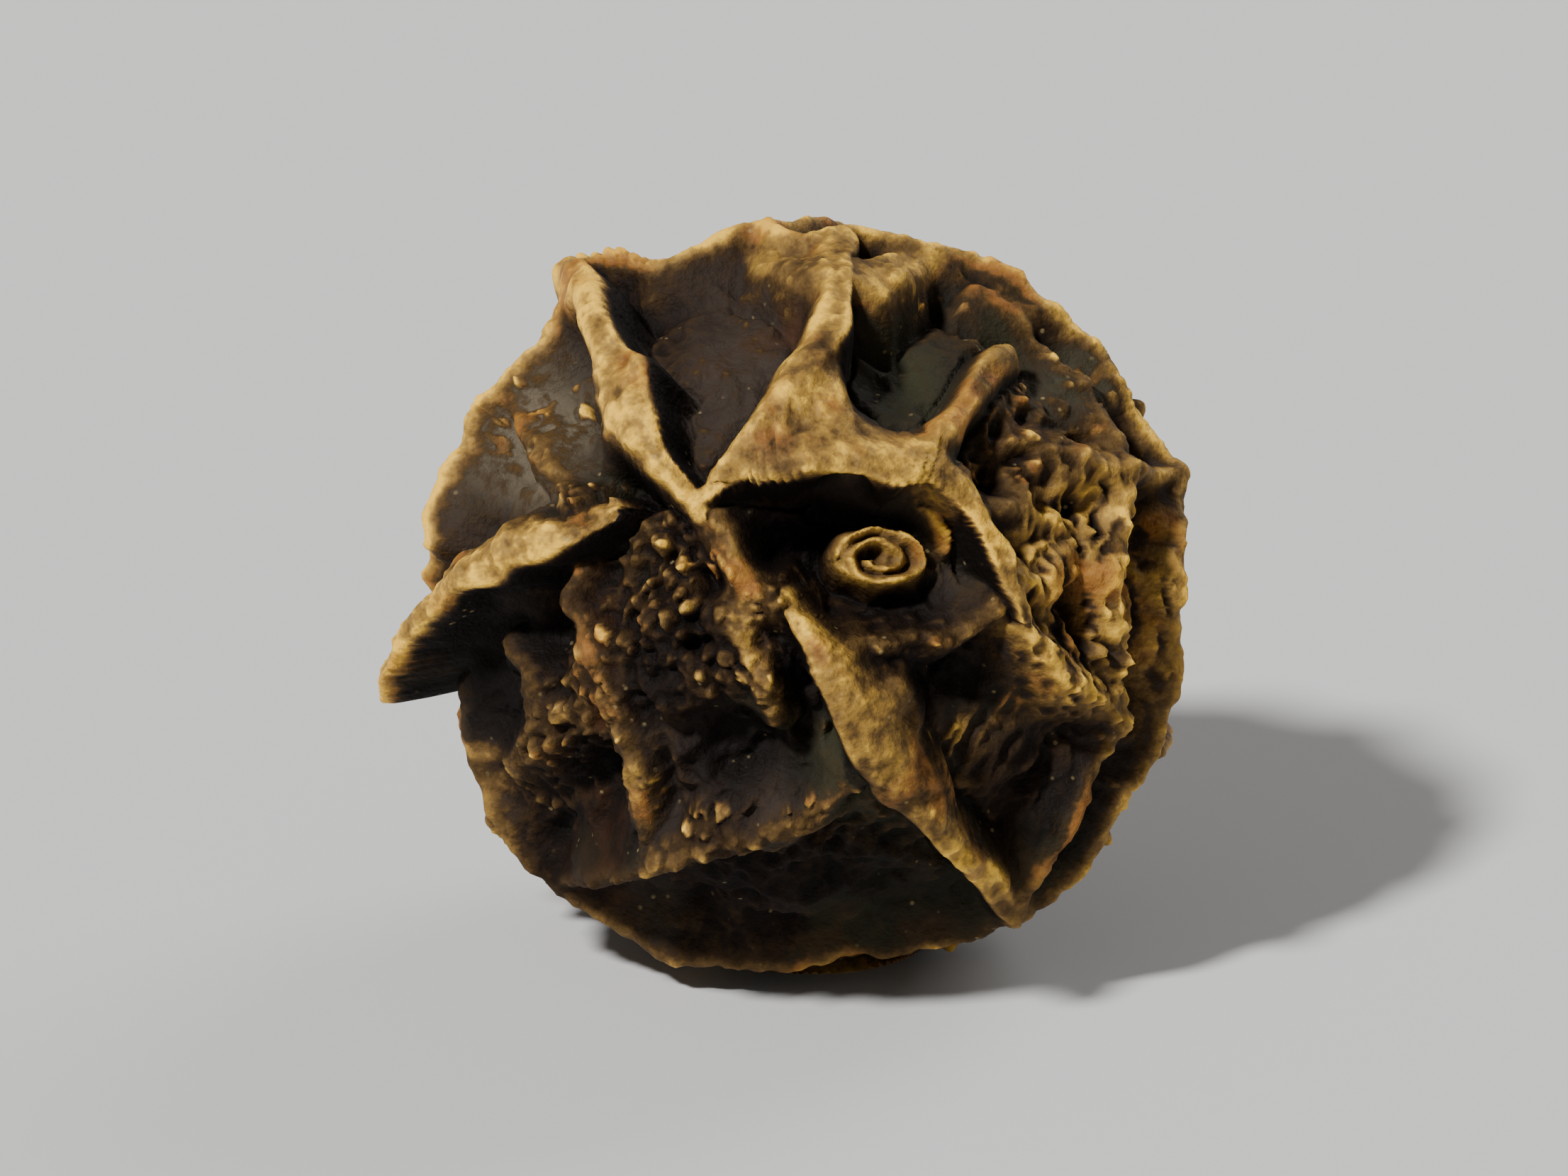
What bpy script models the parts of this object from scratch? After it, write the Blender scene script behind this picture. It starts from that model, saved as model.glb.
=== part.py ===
"""Black peppercorn: one dried berry, whose skin has shrunk into folds and a raised net of ridges round the hard seed.

It is one solid. The side with the stalk scar, called the front here, looks along -Y and a little up, and the berry rests
on a small flat spot. Metres, +Z up. The skin is worked out in millimetres from the middle of the berry, and turned into
metres at the end.
"""

import math
import random
from collections import namedtuple

import bmesh
import bpy
import numpy as np
from mathutils import Vector, noise

MM = 0.001

# Driving dimensions, in millimetres from the middle of the berry
SKIN_RADIUS = 2.66
SEED_RADIUS = 2.29
SEED_UNEVENNESS = 0.05
SEED_BUMP_SIZE = 1.4
REST_DEPTH = 2.50
REST_SPOT_MIDDLE = (0.03, 0.00)
REST_SPOT_RADIUS = 0.85
FRONT_TILT = math.radians(20)

# The skin starts as an even sphere, and is thinned out where it has little shape
SPHERE_SUBDIVISIONS = 7
TRIANGLES_KEPT = 0.137

# How ridges meet: a high number gives sharp corners, a low one gives webs
RIDGE_SHARPNESS = 26.0

# How far ridges wander from their straight runs, in millimetres, and over what length
WANDER = ((0.085, 0.95), (0.030, 0.38))

# Kinds of ridge: how far its flanks reach, how broad its crest is (1 is an edge), and how hollow its flanks are
Kind = namedtuple("Kind", "reach breadth hollowness")
FOLD = Kind(reach=0.40, breadth=2.7, hollowness=2.2)
RIDGE = Kind(reach=0.50, breadth=1.3, hollowness=3.0)
WRINKLE = Kind(reach=0.27, breadth=1.4, hollowness=2.0)
NET_RIDGE = Kind(reach=0.38, breadth=1.2, hollowness=2.4)
CREST_ROUNDING = 0.045

# How strongly a lean is kept to the crest, and how much of a flank's reach lies outside the flank for certain
LEAN_CURVE = 1.5
REACH_MARGIN = 1.5

# How much steeper an undercut side is, and how far off the crest, in millimetres, it is so in full
UNDERCUT_STEEPNESS = 0.45
UNDERCUT_BLEND = 0.07

# A drawn line is a fold or ridge of the front. Each point is millimetres right of and above the front's middle, crest
# radius, and share of full width. At full width the crest leans over by so many millimetres right and up. Its undercut
# side is 1 for the side right of the way that it runs, and -1 for the side left of it.
Drawn = namedtuple("Drawn", "name kind points lean undercut", defaults=((0.0, 0.0), 0))
FRONT_LINES = (
    Drawn("left fold", FOLD, (
        (-1.71, 2.44, 2.99, 0.85), (-1.57, 2.19, 2.90, 0.68), (-1.47, 1.94, 2.82, 0.66), (-1.33, 1.62, 2.78, 1.05),
        (-1.19, 1.31, 2.74, 1.05), (-1.07, 1.06, 2.68, 0.66), (-0.87, 0.80, 2.60, 0.38), (-0.73, 0.62, 2.54, 0.30),
    ), lean=(0.08, 0.0), undercut=-1),
    Drawn("middle fold", FOLD, (
        (0.30, 2.54, 2.67, 0.90), (0.26, 2.29, 2.72, 0.72), (0.19, 1.96, 2.75, 0.68), (0.02, 1.64, 2.77, 0.92),
        (-0.20, 1.32, 2.77, 0.92), (-0.41, 1.03, 2.71, 0.66), (-0.58, 0.84, 2.64, 0.48), (-0.70, 0.72, 2.57, 0.36),
    ), lean=(0.08, 0.0), undercut=-1),
    Drawn("middle fold's top", FOLD, (
        (-0.32, 2.42, 2.50, 0.7), (-0.04, 2.36, 2.62, 0.9), (0.24, 2.30, 2.70, 1.1), (0.56, 2.34, 2.64, 1.0),
        (0.84, 2.38, 2.56, 0.8), (1.10, 2.38, 2.46, 0.6),
    )),
    Drawn("hood", FOLD, (
        (-0.58, 0.80, 2.62, 0.5), (-0.32, 0.92, 2.70, 0.9), (0.02, 0.99, 2.78, 1.25), (0.36, 0.97, 2.79, 1.15),
        (0.70, 0.94, 2.76, 1.00), (0.96, 0.86, 2.71, 0.64), (1.16, 0.66, 2.68, 0.44), (1.32, 0.40, 2.68, 0.38),
        (1.45, 0.12, 2.67, 0.36), (1.58, -0.16, 2.66, 0.36),
    ), lean=(0.0, -0.22), undercut=1),
    Drawn("hood's web", FOLD, (
        (0.04, 1.66, 2.73, 0.8), (0.06, 1.36, 2.75, 1.2), (0.32, 1.12, 2.75, 0.9),
    )),
    Drawn("hood's spur", FOLD, (
        (0.78, 1.00, 2.70, 0.56), (0.99, 1.24, 2.67, 0.42), (1.18, 1.50, 2.60, 0.36), (1.45, 1.74, 2.54, 0.38),
    )),
    Drawn("lower fold", FOLD, (
        (-0.20, -0.02, 2.58, 0.36), (-0.06, -0.26, 2.68, 0.46), (0.10, -0.56, 2.78, 0.72), (0.33, -0.93, 2.82, 1.15),
        (0.54, -1.25, 2.81, 1.30), (0.86, -1.54, 2.78, 0.72), (1.16, -1.89, 2.76, 0.46), (1.46, -2.24, 2.80, 0.54),
    ), lean=(-0.10, -0.05), undercut=1),
    Drawn("side fold", FOLD, (
        (-1.45, 0.62, 2.54, 0.50), (-1.78, 0.43, 2.68, 0.80), (-2.10, 0.32, 2.80, 0.90), (-2.42, 0.17, 2.89, 0.84),
        (-2.68, -0.05, 2.96, 0.72), (-2.86, -0.28, 3.01, 0.58), (-2.95, -0.52, 3.06, 0.44), (-2.98, -0.70, 3.08, 0.32),
    ), lean=(-0.06, -0.14), undercut=-1),
    Drawn("side fold's root", RIDGE, (
        (-1.78, 0.43, 2.54, 1.0), (-2.20, 0.22, 2.68, 1.3), (-2.52, 0.00, 2.74, 1.2), (-2.68, -0.24, 2.76, 0.8),
    )),
    Drawn("top rim", RIDGE, (
        (-1.71, 2.44, 2.99, 1.0), (-1.30, 2.46, 2.82, 0.9), (-1.03, 2.38, 2.66, 0.8), (-0.70, 2.54, 2.70, 0.8),
        (-0.36, 2.64, 2.71, 0.9), (-0.03, 2.54, 2.66, 0.9), (0.37, 2.57, 2.67, 0.9), (0.87, 2.50, 2.70, 0.9),
        (1.27, 2.39, 2.75, 1.0), (1.67, 2.15, 2.77, 1.0), (1.93, 1.94, 2.77, 1.0), (2.23, 1.54, 2.75, 0.9),
        (2.43, 1.17, 2.73, 0.9), (2.64, 0.86, 2.80, 1.0),
    )),
    Drawn("right rim", RIDGE, (
        (2.64, 0.86, 2.80, 1.0), (2.62, 0.32, 2.76, 0.9), (2.60, -0.36, 2.76, 0.9), (2.50, -0.94, 2.78, 0.9),
        (2.26, -1.40, 2.79, 0.9), (1.96, -1.84, 2.79, 0.9), (1.70, -2.12, 2.81, 0.9), (1.45, -2.24, 2.79, 0.9),
    )),
    Drawn("bottom rim", RIDGE, (
        (1.45, -2.24, 2.79, 0.9), (1.20, -2.38, 2.73, 0.8), (0.73, -2.48, 2.64, 0.7), (0.09, -2.57, 2.62, 0.7),
        (-0.49, -2.61, 2.70, 0.8), (-1.05, -2.52, 2.75, 0.9), (-1.35, -2.36, 2.73, 0.9), (-1.85, -1.99, 2.73, 0.9),
        (-2.20, -1.57, 2.72, 1.0), (-2.37, -1.22, 2.69, 1.0), (-2.44, -0.80, 2.59, 0.9), (-2.36, -0.38, 2.48, 0.7),
    )),
    Drawn("left rim", RIDGE, (
        (-2.70, 0.44, 2.80, 0.8), (-2.58, 0.86, 2.76, 0.9), (-2.42, 1.27, 2.77, 1.0), (-2.16, 1.57, 2.73, 0.9),
        (-1.90, 1.86, 2.74, 0.8), (-1.70, 2.20, 2.84, 0.7),
    )),
    Drawn("lower fold's flank", RIDGE, (
        (0.50, -1.26, 2.68, 0.8), (0.10, -1.52, 2.66, 1.0), (-0.47, -1.76, 2.66, 1.0), (-1.01, -1.88, 2.66, 1.0),
        (-1.46, -1.98, 2.68, 0.9), (-1.85, -1.99, 2.70, 0.8),
    )),
    Drawn("ridge under the side fold", WRINKLE, (
        (-1.68, 0.20, 2.50, 1.0), (-1.62, -0.30, 2.53, 1.0), (-1.44, -0.80, 2.50, 0.9), (-1.24, -1.24, 2.50, 1.0),
        (-1.10, -1.84, 2.60, 1.0),
    )),
    Drawn("lower left ridge", WRINKLE, (
        (-2.12, -0.30, 2.42, 1.0), (-1.98, -0.64, 2.48, 1.1), (-2.02, -1.04, 2.52, 1.1), (-2.26, -1.36, 2.64, 1.2),
    )),
    Drawn("crumbs to the lower fold", WRINKLE, (
        (-0.64, 0.56, 2.50, 1.2), (-0.54, 0.22, 2.54, 1.3), (-0.34, 0.02, 2.58, 1.4), (-0.15, -0.08, 2.60, 1.3),
    )),
    Drawn("crumb spur", WRINKLE, (
        (-0.44, 0.10, 2.50, 1.2), (-0.44, -0.30, 2.54, 1.2), (-0.34, -0.62, 2.60, 1.2), (-0.26, -0.82, 2.48, 1.0),
    )),
    Drawn("under the pit", WRINKLE, (
        (0.30, -0.36, 2.50, 1.0), (0.68, -0.34, 2.46, 0.9), (1.08, -0.24, 2.48, 0.9), (1.50, 0.02, 2.62, 0.9),
    )),
    Drawn("hood's long leg", RIDGE, (
        (1.58, -0.16, 2.66, 0.5), (1.76, -0.44, 2.67, 0.7), (1.98, -0.68, 2.67, 0.8), (2.24, -0.90, 2.66, 0.7),
    )),
    Drawn("lower right ridge", RIDGE, (
        (2.24, -0.90, 2.66, 0.7), (2.04, -1.28, 2.67, 0.8), (1.74, -1.74, 2.71, 0.8), (1.45, -2.24, 2.79, 0.9),
    )),
    Drawn("cross ridge", RIDGE, (
        (1.50, 1.06, 2.50, 0.5), (1.95, 1.00, 2.62, 0.5), (2.27, 0.90, 2.72, 0.6), (2.64, 0.86, 2.80, 0.7),
    )),
    Drawn("inner right ridge", WRINKLE, (
        (2.27, 0.90, 2.70, 1.1), (2.22, 0.48, 2.66, 0.9), (2.18, 0.05, 2.66, 0.8), (2.22, -0.42, 2.66, 0.9),
        (2.24, -0.90, 2.66, 0.8),
    )),
    Drawn("upper right wrinkle", WRINKLE, (
        (1.24, 0.64, 2.54, 0.9), (1.60, 0.68, 2.50, 0.8), (1.95, 1.00, 2.62, 1.0),
    )),
    Drawn("right wrinkle", WRINKLE, (
        (1.46, 0.14, 2.56, 0.9), (1.78, 0.16, 2.48, 0.8), (2.00, 0.36, 2.48, 0.8), (2.20, 0.30, 2.58, 0.8),
    )),
    Drawn("inner top rim", WRINKLE, (
        (1.18, 2.18, 2.58, 0.8), (1.60, 1.92, 2.60, 0.8), (1.96, 1.50, 2.60, 0.8), (2.22, 1.06, 2.66, 0.9),
    )),
    Drawn("flake by the scar", WRINKLE, (
        (0.68, 0.74, 2.22, 0.45), (0.84, 0.69, 2.38, 0.55), (0.96, 0.54, 2.40, 0.60), (0.98, 0.34, 2.30, 0.5),
    )),
    Drawn("upper left ridge", WRINKLE, (
        (-2.16, 1.57, 2.68, 1.0), (-2.02, 1.20, 2.50, 1.0), (-1.86, 0.98, 2.50, 1.1), (-1.66, 0.76, 2.54, 1.1),
    )),
)

# How many straight runs make up a line of the front from one point to the next
CURVE_STEPS = 4

# How sharply an oval hollow or patch ends, and how far inside the front's outline all of them fade out, as a cosine
OVAL_EDGE = 4
FRONT_FADE = 0.15

# An oval place on the front, in millimetres right of and above its middle, turned anticlockwise by degrees
Oval = namedtuple("Oval", "right up half_width half_height turn", defaults=(0.0,))

# Hollows in the front and their depth in millimetres, below nought for a swelling
FRONT_HOLLOWS = (
    (Oval(0.26, 0.30, 0.86, 0.50), 0.50),
    (Oval(-0.60, 1.75, 0.42, 0.75), 0.08),
    (Oval(0.76, 1.84, 0.42, 0.40), 0.16),
    (Oval(1.12, -0.82, 0.55, 0.45), 0.14),
    (Oval(-0.56, -1.14, 0.44, 0.30), 0.20),
    (Oval(-0.08, -0.76, 0.14, 0.42, 17), 0.16),
    (Oval(-1.36, 0.94, 0.24, 0.24), 0.16),
    (Oval(-2.10, -0.20, 0.28, 0.40), 0.20),
    (Oval(-1.66, -1.38, 0.32, 0.28), 0.14),
    (Oval(0.10, -2.10, 0.95, 0.25), 0.08),
    (Oval(1.80, 1.30, 0.55, 0.50), -0.14),
    (Oval(2.15, 0.05, 0.60, 1.10), -0.16),
    (Oval(-1.02, -0.40, 0.45, 0.50), -0.14),
    (Oval(-0.60, -1.66, 0.90, 0.20), -0.12),
    (Oval(-1.88, -0.95, 0.40, 0.55), -0.12),
)

# The stalk's scar, a low curled ring in the pit: its place and size, and how far out its rim and its middle are
SCAR = Oval(0.60, 0.34, 0.49, 0.36)
SCAR_RIM_RADIUS = 2.28
SCAR_MIDDLE_RADIUS = 2.14

# Shares of the scar's own size: where its rim is highest, how far it winds inwards, its width, its wall's foot and width
SCAR_RIM_SHARE = 0.76
SCAR_CURL = 0.09
SCAR_RIM_WIDTH = 0.26
SCAR_FOOT_SHARE = 1.12
SCAR_WALL_WIDTH = 0.30

# Rough patches of crumbs, and how far the crumbs stand out
CRUMB_SIZE = 0.24
CRUMB_PATCHES = (
    (Oval(-0.92, 0.22, 0.42, 0.42), 0.085),
    (Oval(-1.38, 0.02, 0.36, 0.60), 0.060),
    (Oval(-0.32, -0.06, 0.26, 0.26), 0.085),
    (Oval(-0.36, -0.52, 0.24, 0.36), 0.075),
    (Oval(-0.98, -0.50, 0.45, 0.40), 0.055),
    (Oval(-1.72, 0.92, 0.32, 0.24), 0.060),
    (Oval(-1.85, -0.95, 0.45, 0.70), 0.055),
    (Oval(-0.70, -1.72, 0.90, 0.24), 0.035),
    (Oval(0.95, -0.28, 0.55, 0.18), 0.050),
    (Oval(2.05, -0.10, 0.55, 0.90), 0.045),
    (Oval(1.68, 1.20, 0.55, 0.48), 0.040),
    (Oval(2.30, -1.30, 0.30, 0.60, 35), 0.035),
)

# The net on the sides and the back: its cells, and its ridges' crest radius, sag, width, bend and lean
NET_SEED = 23
NET_CELLS = 54
NET_UNEVENNESS = 0.46
NET_CREST = (2.54, 2.78)
NET_SAG = (0.92, 1.0)
NET_WIDTH = (0.55, 1.1)
NET_MIDDLE_WIDTH = 0.85
NET_BEND = 0.20
NET_LEAN = 0.04
NET_CURVE_STEPS = 3

# Where the net meets the front, as the cosine of the angle to the way that the front looks, and as millimetres
FRONT_EDGE = 0.12
FRONT_BORDER = -0.25
FRONT_RIM_BAND = 0.35
BORDER_SNAP = 0.50

# What counts as level with the flat spot after thinning, in millimetres
LEVEL_TOLERANCE = 0.004

SKIN_COLOUR = (0.075, 0.046, 0.026, 1.0)
SKIN_ROUGHNESS = 0.68

GOLDEN_ANGLE = math.pi * (3 - math.sqrt(5))

# The front's own directions: right, up, and out towards whoever looks at it
RIGHT = np.array((1.0, 0.0, 0.0))
UP = np.array((0.0, math.sin(FRONT_TILT), math.cos(FRONT_TILT)))
OUT = np.array((0.0, -math.cos(FRONT_TILT), math.sin(FRONT_TILT)))

# A line in space: its kind, the points of its crest, its share of full width at each, its lean, and its undercut side
Line = namedtuple("Line", "kind points widths lean undercut")


def clear_scene():
    for item in list(bpy.data.objects):
        bpy.data.objects.remove(item, do_unlink=True)


def place_on_front(right, up, radius):
    """The point of the berry that the front shows at these millimetres, at this distance from the middle."""
    depth = math.sqrt(max(radius**2 - right**2 - up**2, 0.0))
    return right * RIGHT + up * UP + depth * OUT


def curved(rows, steps):
    """Rows on a smooth curve through the given rows, with so many steps from one of them to the next."""
    padded = np.vstack((2 * rows[0] - rows[1], rows, 2 * rows[-1] - rows[-2]))
    share = (np.arange(steps) / steps)[:, None]
    spans = []
    for before, start, end, after in zip(padded, padded[1:], padded[2:], padded[3:]):
        bend = 2 * before - 5 * start + 4 * end - after
        twist = 3 * start - before - 3 * end + after
        spans.append(start + ((end - before) * share + bend * share**2 + twist * share**3) / 2)
    return np.vstack((*spans, rows[-1:]))


def front_lines():
    """The folds and ridges of the front, each with its foot moved so that its leaning crest ends where it is drawn."""
    lines = []
    for drawn in FRONT_LINES:
        rows = np.array([(*place_on_front(right, up, radius), width) for right, up, radius, width in drawn.points])
        rows = curved(rows, CURVE_STEPS)
        lean = drawn.lean[0] * RIGHT + drawn.lean[1] * UP
        lines.append(Line(drawn.kind, rows[:, :3] - rows[:, 3:] * lean, rows[:, 3], lean, drawn.undercut))
    return lines


def net_corners_and_edges():
    """Corners and edges of an uneven net of cells over the whole berry, from one middle point in each cell."""
    rng = random.Random(NET_SEED)
    shift = NET_UNEVENNESS * math.sqrt(4 * math.pi / NET_CELLS)
    hull = bmesh.new()
    for index in range(NET_CELLS):
        height = 1 - (2 * index + 1) / NET_CELLS
        ring = math.sqrt(1 - height**2)
        turn = index * GOLDEN_ANGLE
        middle = Vector((ring * math.cos(turn), ring * math.sin(turn), height))
        middle += Vector([rng.uniform(-shift, shift) for _ in range(3)])
        hull.verts.new(middle.normalized())
    bmesh.ops.convex_hull(hull, input=hull.verts)
    hull.normal_update()
    faces = sorted(hull.faces, key=lambda face: tuple(face.normal))
    order = {face: index for index, face in enumerate(faces)}
    corners = [np.array(face.normal) for face in faces]
    edges = sorted(tuple(sorted(order[face] for face in edge.link_faces)) for edge in hull.edges)
    hull.free()
    return corners, edges


def net_lines(front):
    """The ridges of the sides and the back. Those that reach the front end at the front's own outer points."""
    rng = random.Random(NET_SEED + 1)
    outer = np.array([
        point for line in front for point in line.points
        if abs(point @ OUT) < FRONT_RIM_BAND * np.linalg.norm(point)
    ])
    corners, edges = net_corners_and_edges()
    places = []
    on_border = []
    for corner in corners:
        place = corner * rng.uniform(*NET_CREST)
        distances = np.linalg.norm(outer - place, axis=1)
        near = corner @ OUT > FRONT_BORDER and distances.min() < BORDER_SNAP
        snapped = corner @ OUT > FRONT_EDGE or near
        places.append(outer[distances.argmin()] if snapped else place)
        on_border.append(snapped)
    lines = []
    for first, last in edges:
        bend = rng.uniform(-NET_BEND, NET_BEND)
        sag = rng.uniform(*NET_SAG)
        width = rng.uniform(*NET_WIDTH)
        lean = rng.uniform(-NET_LEAN, NET_LEAN)
        if on_border[first] and on_border[last]:
            continue
        lines.append(line_between(places[first], places[last], bend, sag, width, lean))
    return lines


def line_between(start, end, bend, sag, width, lean):
    """A ridge of the net between two corners, bowed sideways and sagging a little halfway."""
    middle = (start + end) / 2
    across = np.cross(end - start, middle / np.linalg.norm(middle))
    middle += bend * across
    middle *= sag * (np.linalg.norm(start) + np.linalg.norm(end)) / 2 / np.linalg.norm(middle)
    rows = np.array(((*start, width), (*middle, NET_MIDDLE_WIDTH * width), (*end, width)))
    rows = curved(rows, NET_CURVE_STEPS)
    return Line(NET_RIDGE, rows[:, :3], rows[:, 3], lean * across / np.linalg.norm(across), 0)


def noise_at(places, size):
    """Smooth noise from -1 to 1 whose bumps are about this many millimetres across."""
    return np.array([noise.noise(Vector(place) / size) for place in places])


def wander(directions):
    """The same directions, moved a little, so that what is read there as straight comes out wavy."""
    places = directions * SKIN_RADIUS
    moved = places.copy()
    for amount, length in WANDER:
        moved += amount * np.array([noise.noise_vector(Vector(place) / length) for place in places])
    return moved / np.linalg.norm(moved, axis=1)[:, None]


def line_shape(directions, line):
    """One fold or ridge where it is near.

    It gives the numbers of the directions there, and for each of them the crest's radius, how near the crest is, from 0
    to 1, and the share of full width.
    """
    nearest = np.full(len(directions), np.inf)
    radius, width, across = (np.zeros(len(directions)) for _ in range(3))
    reach = REACH_MARGIN * line.kind.reach * line.widths.max()
    ends = zip(line.points[:-1], line.points[1:], line.widths[:-1], line.widths[1:], strict=True)
    for start, end, start_width, end_width in ends:
        run = end - start
        length = np.linalg.norm(run)
        middle = (start + end) / np.linalg.norm(start + end)
        near = np.flatnonzero(directions @ middle > math.cos((length / 2 + reach) / SKIN_RADIUS))
        places = directions[near] * SKIN_RADIUS
        share = np.clip((places - start) @ run / length**2, 0, 1)
        crest = start + share[:, None] * run
        crest_radius = np.linalg.norm(crest, axis=1)
        off = places - crest * (SKIN_RADIUS / crest_radius)[:, None]
        distance = np.linalg.norm(off, axis=1)
        closer = distance < nearest[near]
        at = near[closer]
        nearest[at] = distance[closer]
        radius[at] = crest_radius[closer]
        width[at] = (start_width + share * (end_width - start_width))[closer]
        across[at] = np.copysign(distance, off @ np.cross(run, start))[closer]
    near = np.flatnonzero(nearest < reach)
    away = (np.hypot(nearest[near], CREST_ROUNDING) - CREST_ROUNDING) / (line.kind.reach * width[near])
    away *= 1 + UNDERCUT_STEEPNESS * np.clip(line.undercut * across[near] / UNDERCUT_BLEND, 0, 1)
    nearness = np.clip(1 - away**line.kind.breadth, 0, 1) ** line.kind.hollowness
    return near, radius[near], nearness, width[near]


def oval_distance(spots, oval):
    """Distance from an oval's middle, 1 on its edge."""
    turn = math.radians(oval.turn)
    east = spots[0] - oval.right
    north = spots[1] - oval.up
    across = math.cos(turn) * east + math.sin(turn) * north
    along = math.cos(turn) * north - math.sin(turn) * east
    return np.hypot(across / oval.half_width, along / oval.half_height)


def inside_oval(spots, oval):
    """1 in the middle of an oval on the front, 0 well outside it and off the front."""
    return np.exp(-oval_distance(spots, oval) ** OVAL_EDGE) * spots[2]


def seed_radius(directions, spots):
    """The skin's radius where no fold lifts it: the hard seed, a little uneven, and the hollows of the front."""
    radius = SEED_RADIUS + SEED_UNEVENNESS * noise_at(directions * SKIN_RADIUS, SEED_BUMP_SIZE)
    for oval, depth in FRONT_HOLLOWS:
        radius -= depth * inside_oval(spots, oval)
    return radius


def add_scar(radius, spots):
    """Raises the stalk's scar out of the pit: a flat-topped stub with a rounded, curled rim."""
    away = oval_distance(spots, SCAR)
    turn = np.arctan2(spots[1] - SCAR.up, spots[0] - SCAR.right) / math.pi
    rim = np.exp(-(((away - SCAR_RIM_SHARE - SCAR_CURL * turn) / SCAR_RIM_WIDTH) ** 2))
    top = SCAR_MIDDLE_RADIUS + (SCAR_RIM_RADIUS - SCAR_MIDDLE_RADIUS) * rim
    stub = np.clip((SCAR_FOOT_SHARE - away) / SCAR_WALL_WIDTH, 0, 1) * spots[2]
    return radius + (top - radius) * stub


def add_crumbs(radius, directions, spots):
    """Breaks the skin up in the rough patches."""
    crumbs = noise_at(directions * SKIN_RADIUS, CRUMB_SIZE)
    for oval, height in CRUMB_PATCHES:
        radius = radius + height * crumbs * inside_oval(spots, oval)
    return radius


def flatten_rest_spot(places):
    """Cuts the skin off level under the berry, and fills the hollow there down to the same level."""
    under = places[:, 2] < -REST_DEPTH / 2
    stretch = np.where(under, -REST_DEPTH / np.where(under, places[:, 2], 1), 1)
    spread = np.linalg.norm(places[:, :2] * stretch[:, None] - REST_SPOT_MIDDLE, axis=1)
    level_off = under & ((stretch < 1) | (spread < REST_SPOT_RADIUS))
    return np.where(level_off[:, None], places * stretch[:, None], places)


def skin_places(directions):
    """Where the skin lies in each direction, in millimetres from the middle of the berry."""
    wavy = wander(directions)
    spots = (wavy @ RIGHT * SKIN_RADIUS, wavy @ UP * SKIN_RADIUS, np.clip(wavy @ OUT / FRONT_FADE, 0, 1))
    floor = seed_radius(directions, spots)
    front = front_lines()
    lifted = np.zeros(len(directions))
    leaning = np.zeros((len(directions), 3))
    for line in front + net_lines(front):
        near, crest_radius, nearness, width = line_shape(wavy, line)
        lift = np.expm1(RIDGE_SHARPNESS * np.maximum(crest_radius - floor[near], 0) * nearness)
        lifted[near] += lift
        leaning[near] += (lift * nearness**LEAN_CURVE * width)[:, None] * line.lean
    radius = floor + np.log1p(lifted) / RIDGE_SHARPNESS
    radius = add_scar(radius, spots)
    radius = add_crumbs(radius, directions, spots)
    places = directions * radius[:, None] + leaning / np.maximum(lifted, 1.0)[:, None]
    return flatten_rest_spot(places)


def read_places(mesh):
    places = np.empty(len(mesh.vertices) * 3)
    mesh.vertices.foreach_get("co", places)
    return places.reshape(-1, 3)


def write_places(mesh, places):
    mesh.vertices.foreach_set("co", places.ravel())
    mesh.update()


def thin_out(berry):
    """Leaves fewer triangles, most of them on the ridges."""
    thin = berry.modifiers.new("Thin out", "DECIMATE")
    thin.ratio = TRIANGLES_KEPT
    bpy.ops.object.modifier_apply(modifier=thin.name)


def stand_on_origin(places):
    """Moves the berry so that it stands on the origin, with its flat spot truly level."""
    level = np.abs(places[:, 2] + REST_DEPTH) < LEVEL_TOLERANCE
    places[level, 2] = -REST_DEPTH
    low = places.min(axis=0)
    high = places.max(axis=0)
    return places - np.array(((low[0] + high[0]) / 2, (low[1] + high[1]) / 2, low[2]))


def skin_material():
    material = bpy.data.materials.new("dried skin")
    material.use_nodes = True
    shader = material.node_tree.nodes["Principled BSDF"]
    shader.inputs["Base Color"].default_value = SKIN_COLOUR
    shader.inputs["Roughness"].default_value = SKIN_ROUGHNESS
    shader.inputs["Metallic"].default_value = 0.0
    return material


def make_peppercorn(collection):
    bpy.ops.mesh.primitive_ico_sphere_add(subdivisions=SPHERE_SUBDIVISIONS, radius=1.0)
    berry = bpy.context.object
    berry.name = "peppercorn"
    berry.data.name = "peppercorn"
    for holder in list(berry.users_collection):
        holder.objects.unlink(berry)
    collection.objects.link(berry)
    bpy.context.view_layer.objects.active = berry
    directions = read_places(berry.data)
    directions /= np.linalg.norm(directions, axis=1)[:, None]
    write_places(berry.data, skin_places(directions))
    thin_out(berry)
    write_places(berry.data, stand_on_origin(read_places(berry.data)) * MM)
    berry.data.materials.append(skin_material())
    berry.data.shade_smooth()
    return berry


def main():
    clear_scene()
    collection = bpy.data.collections.new("black_peppercorn")
    bpy.context.scene.collection.children.link(collection)
    make_peppercorn(collection)


main()
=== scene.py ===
"""Black peppercorn: the looks of one dried berry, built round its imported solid.

The finer skin follows the solid's own folds, raised net and hollows, and adds what is too fine for it:
crumbs, wrinkles, streaks, grooves along the feet of the folds, and the grain. The skin is worked out in
millimetres from the middle of the berry, and stands in metres with +Z up. The side with the stalk scar,
called the front here, looks along -Y.
"""

from __future__ import annotations

import logging
import math
import random
from collections.abc import Iterable
from dataclasses import dataclass
from enum import Enum
from typing import Any

import bmesh
import bpy
import numpy as np
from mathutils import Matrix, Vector, noise


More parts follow.
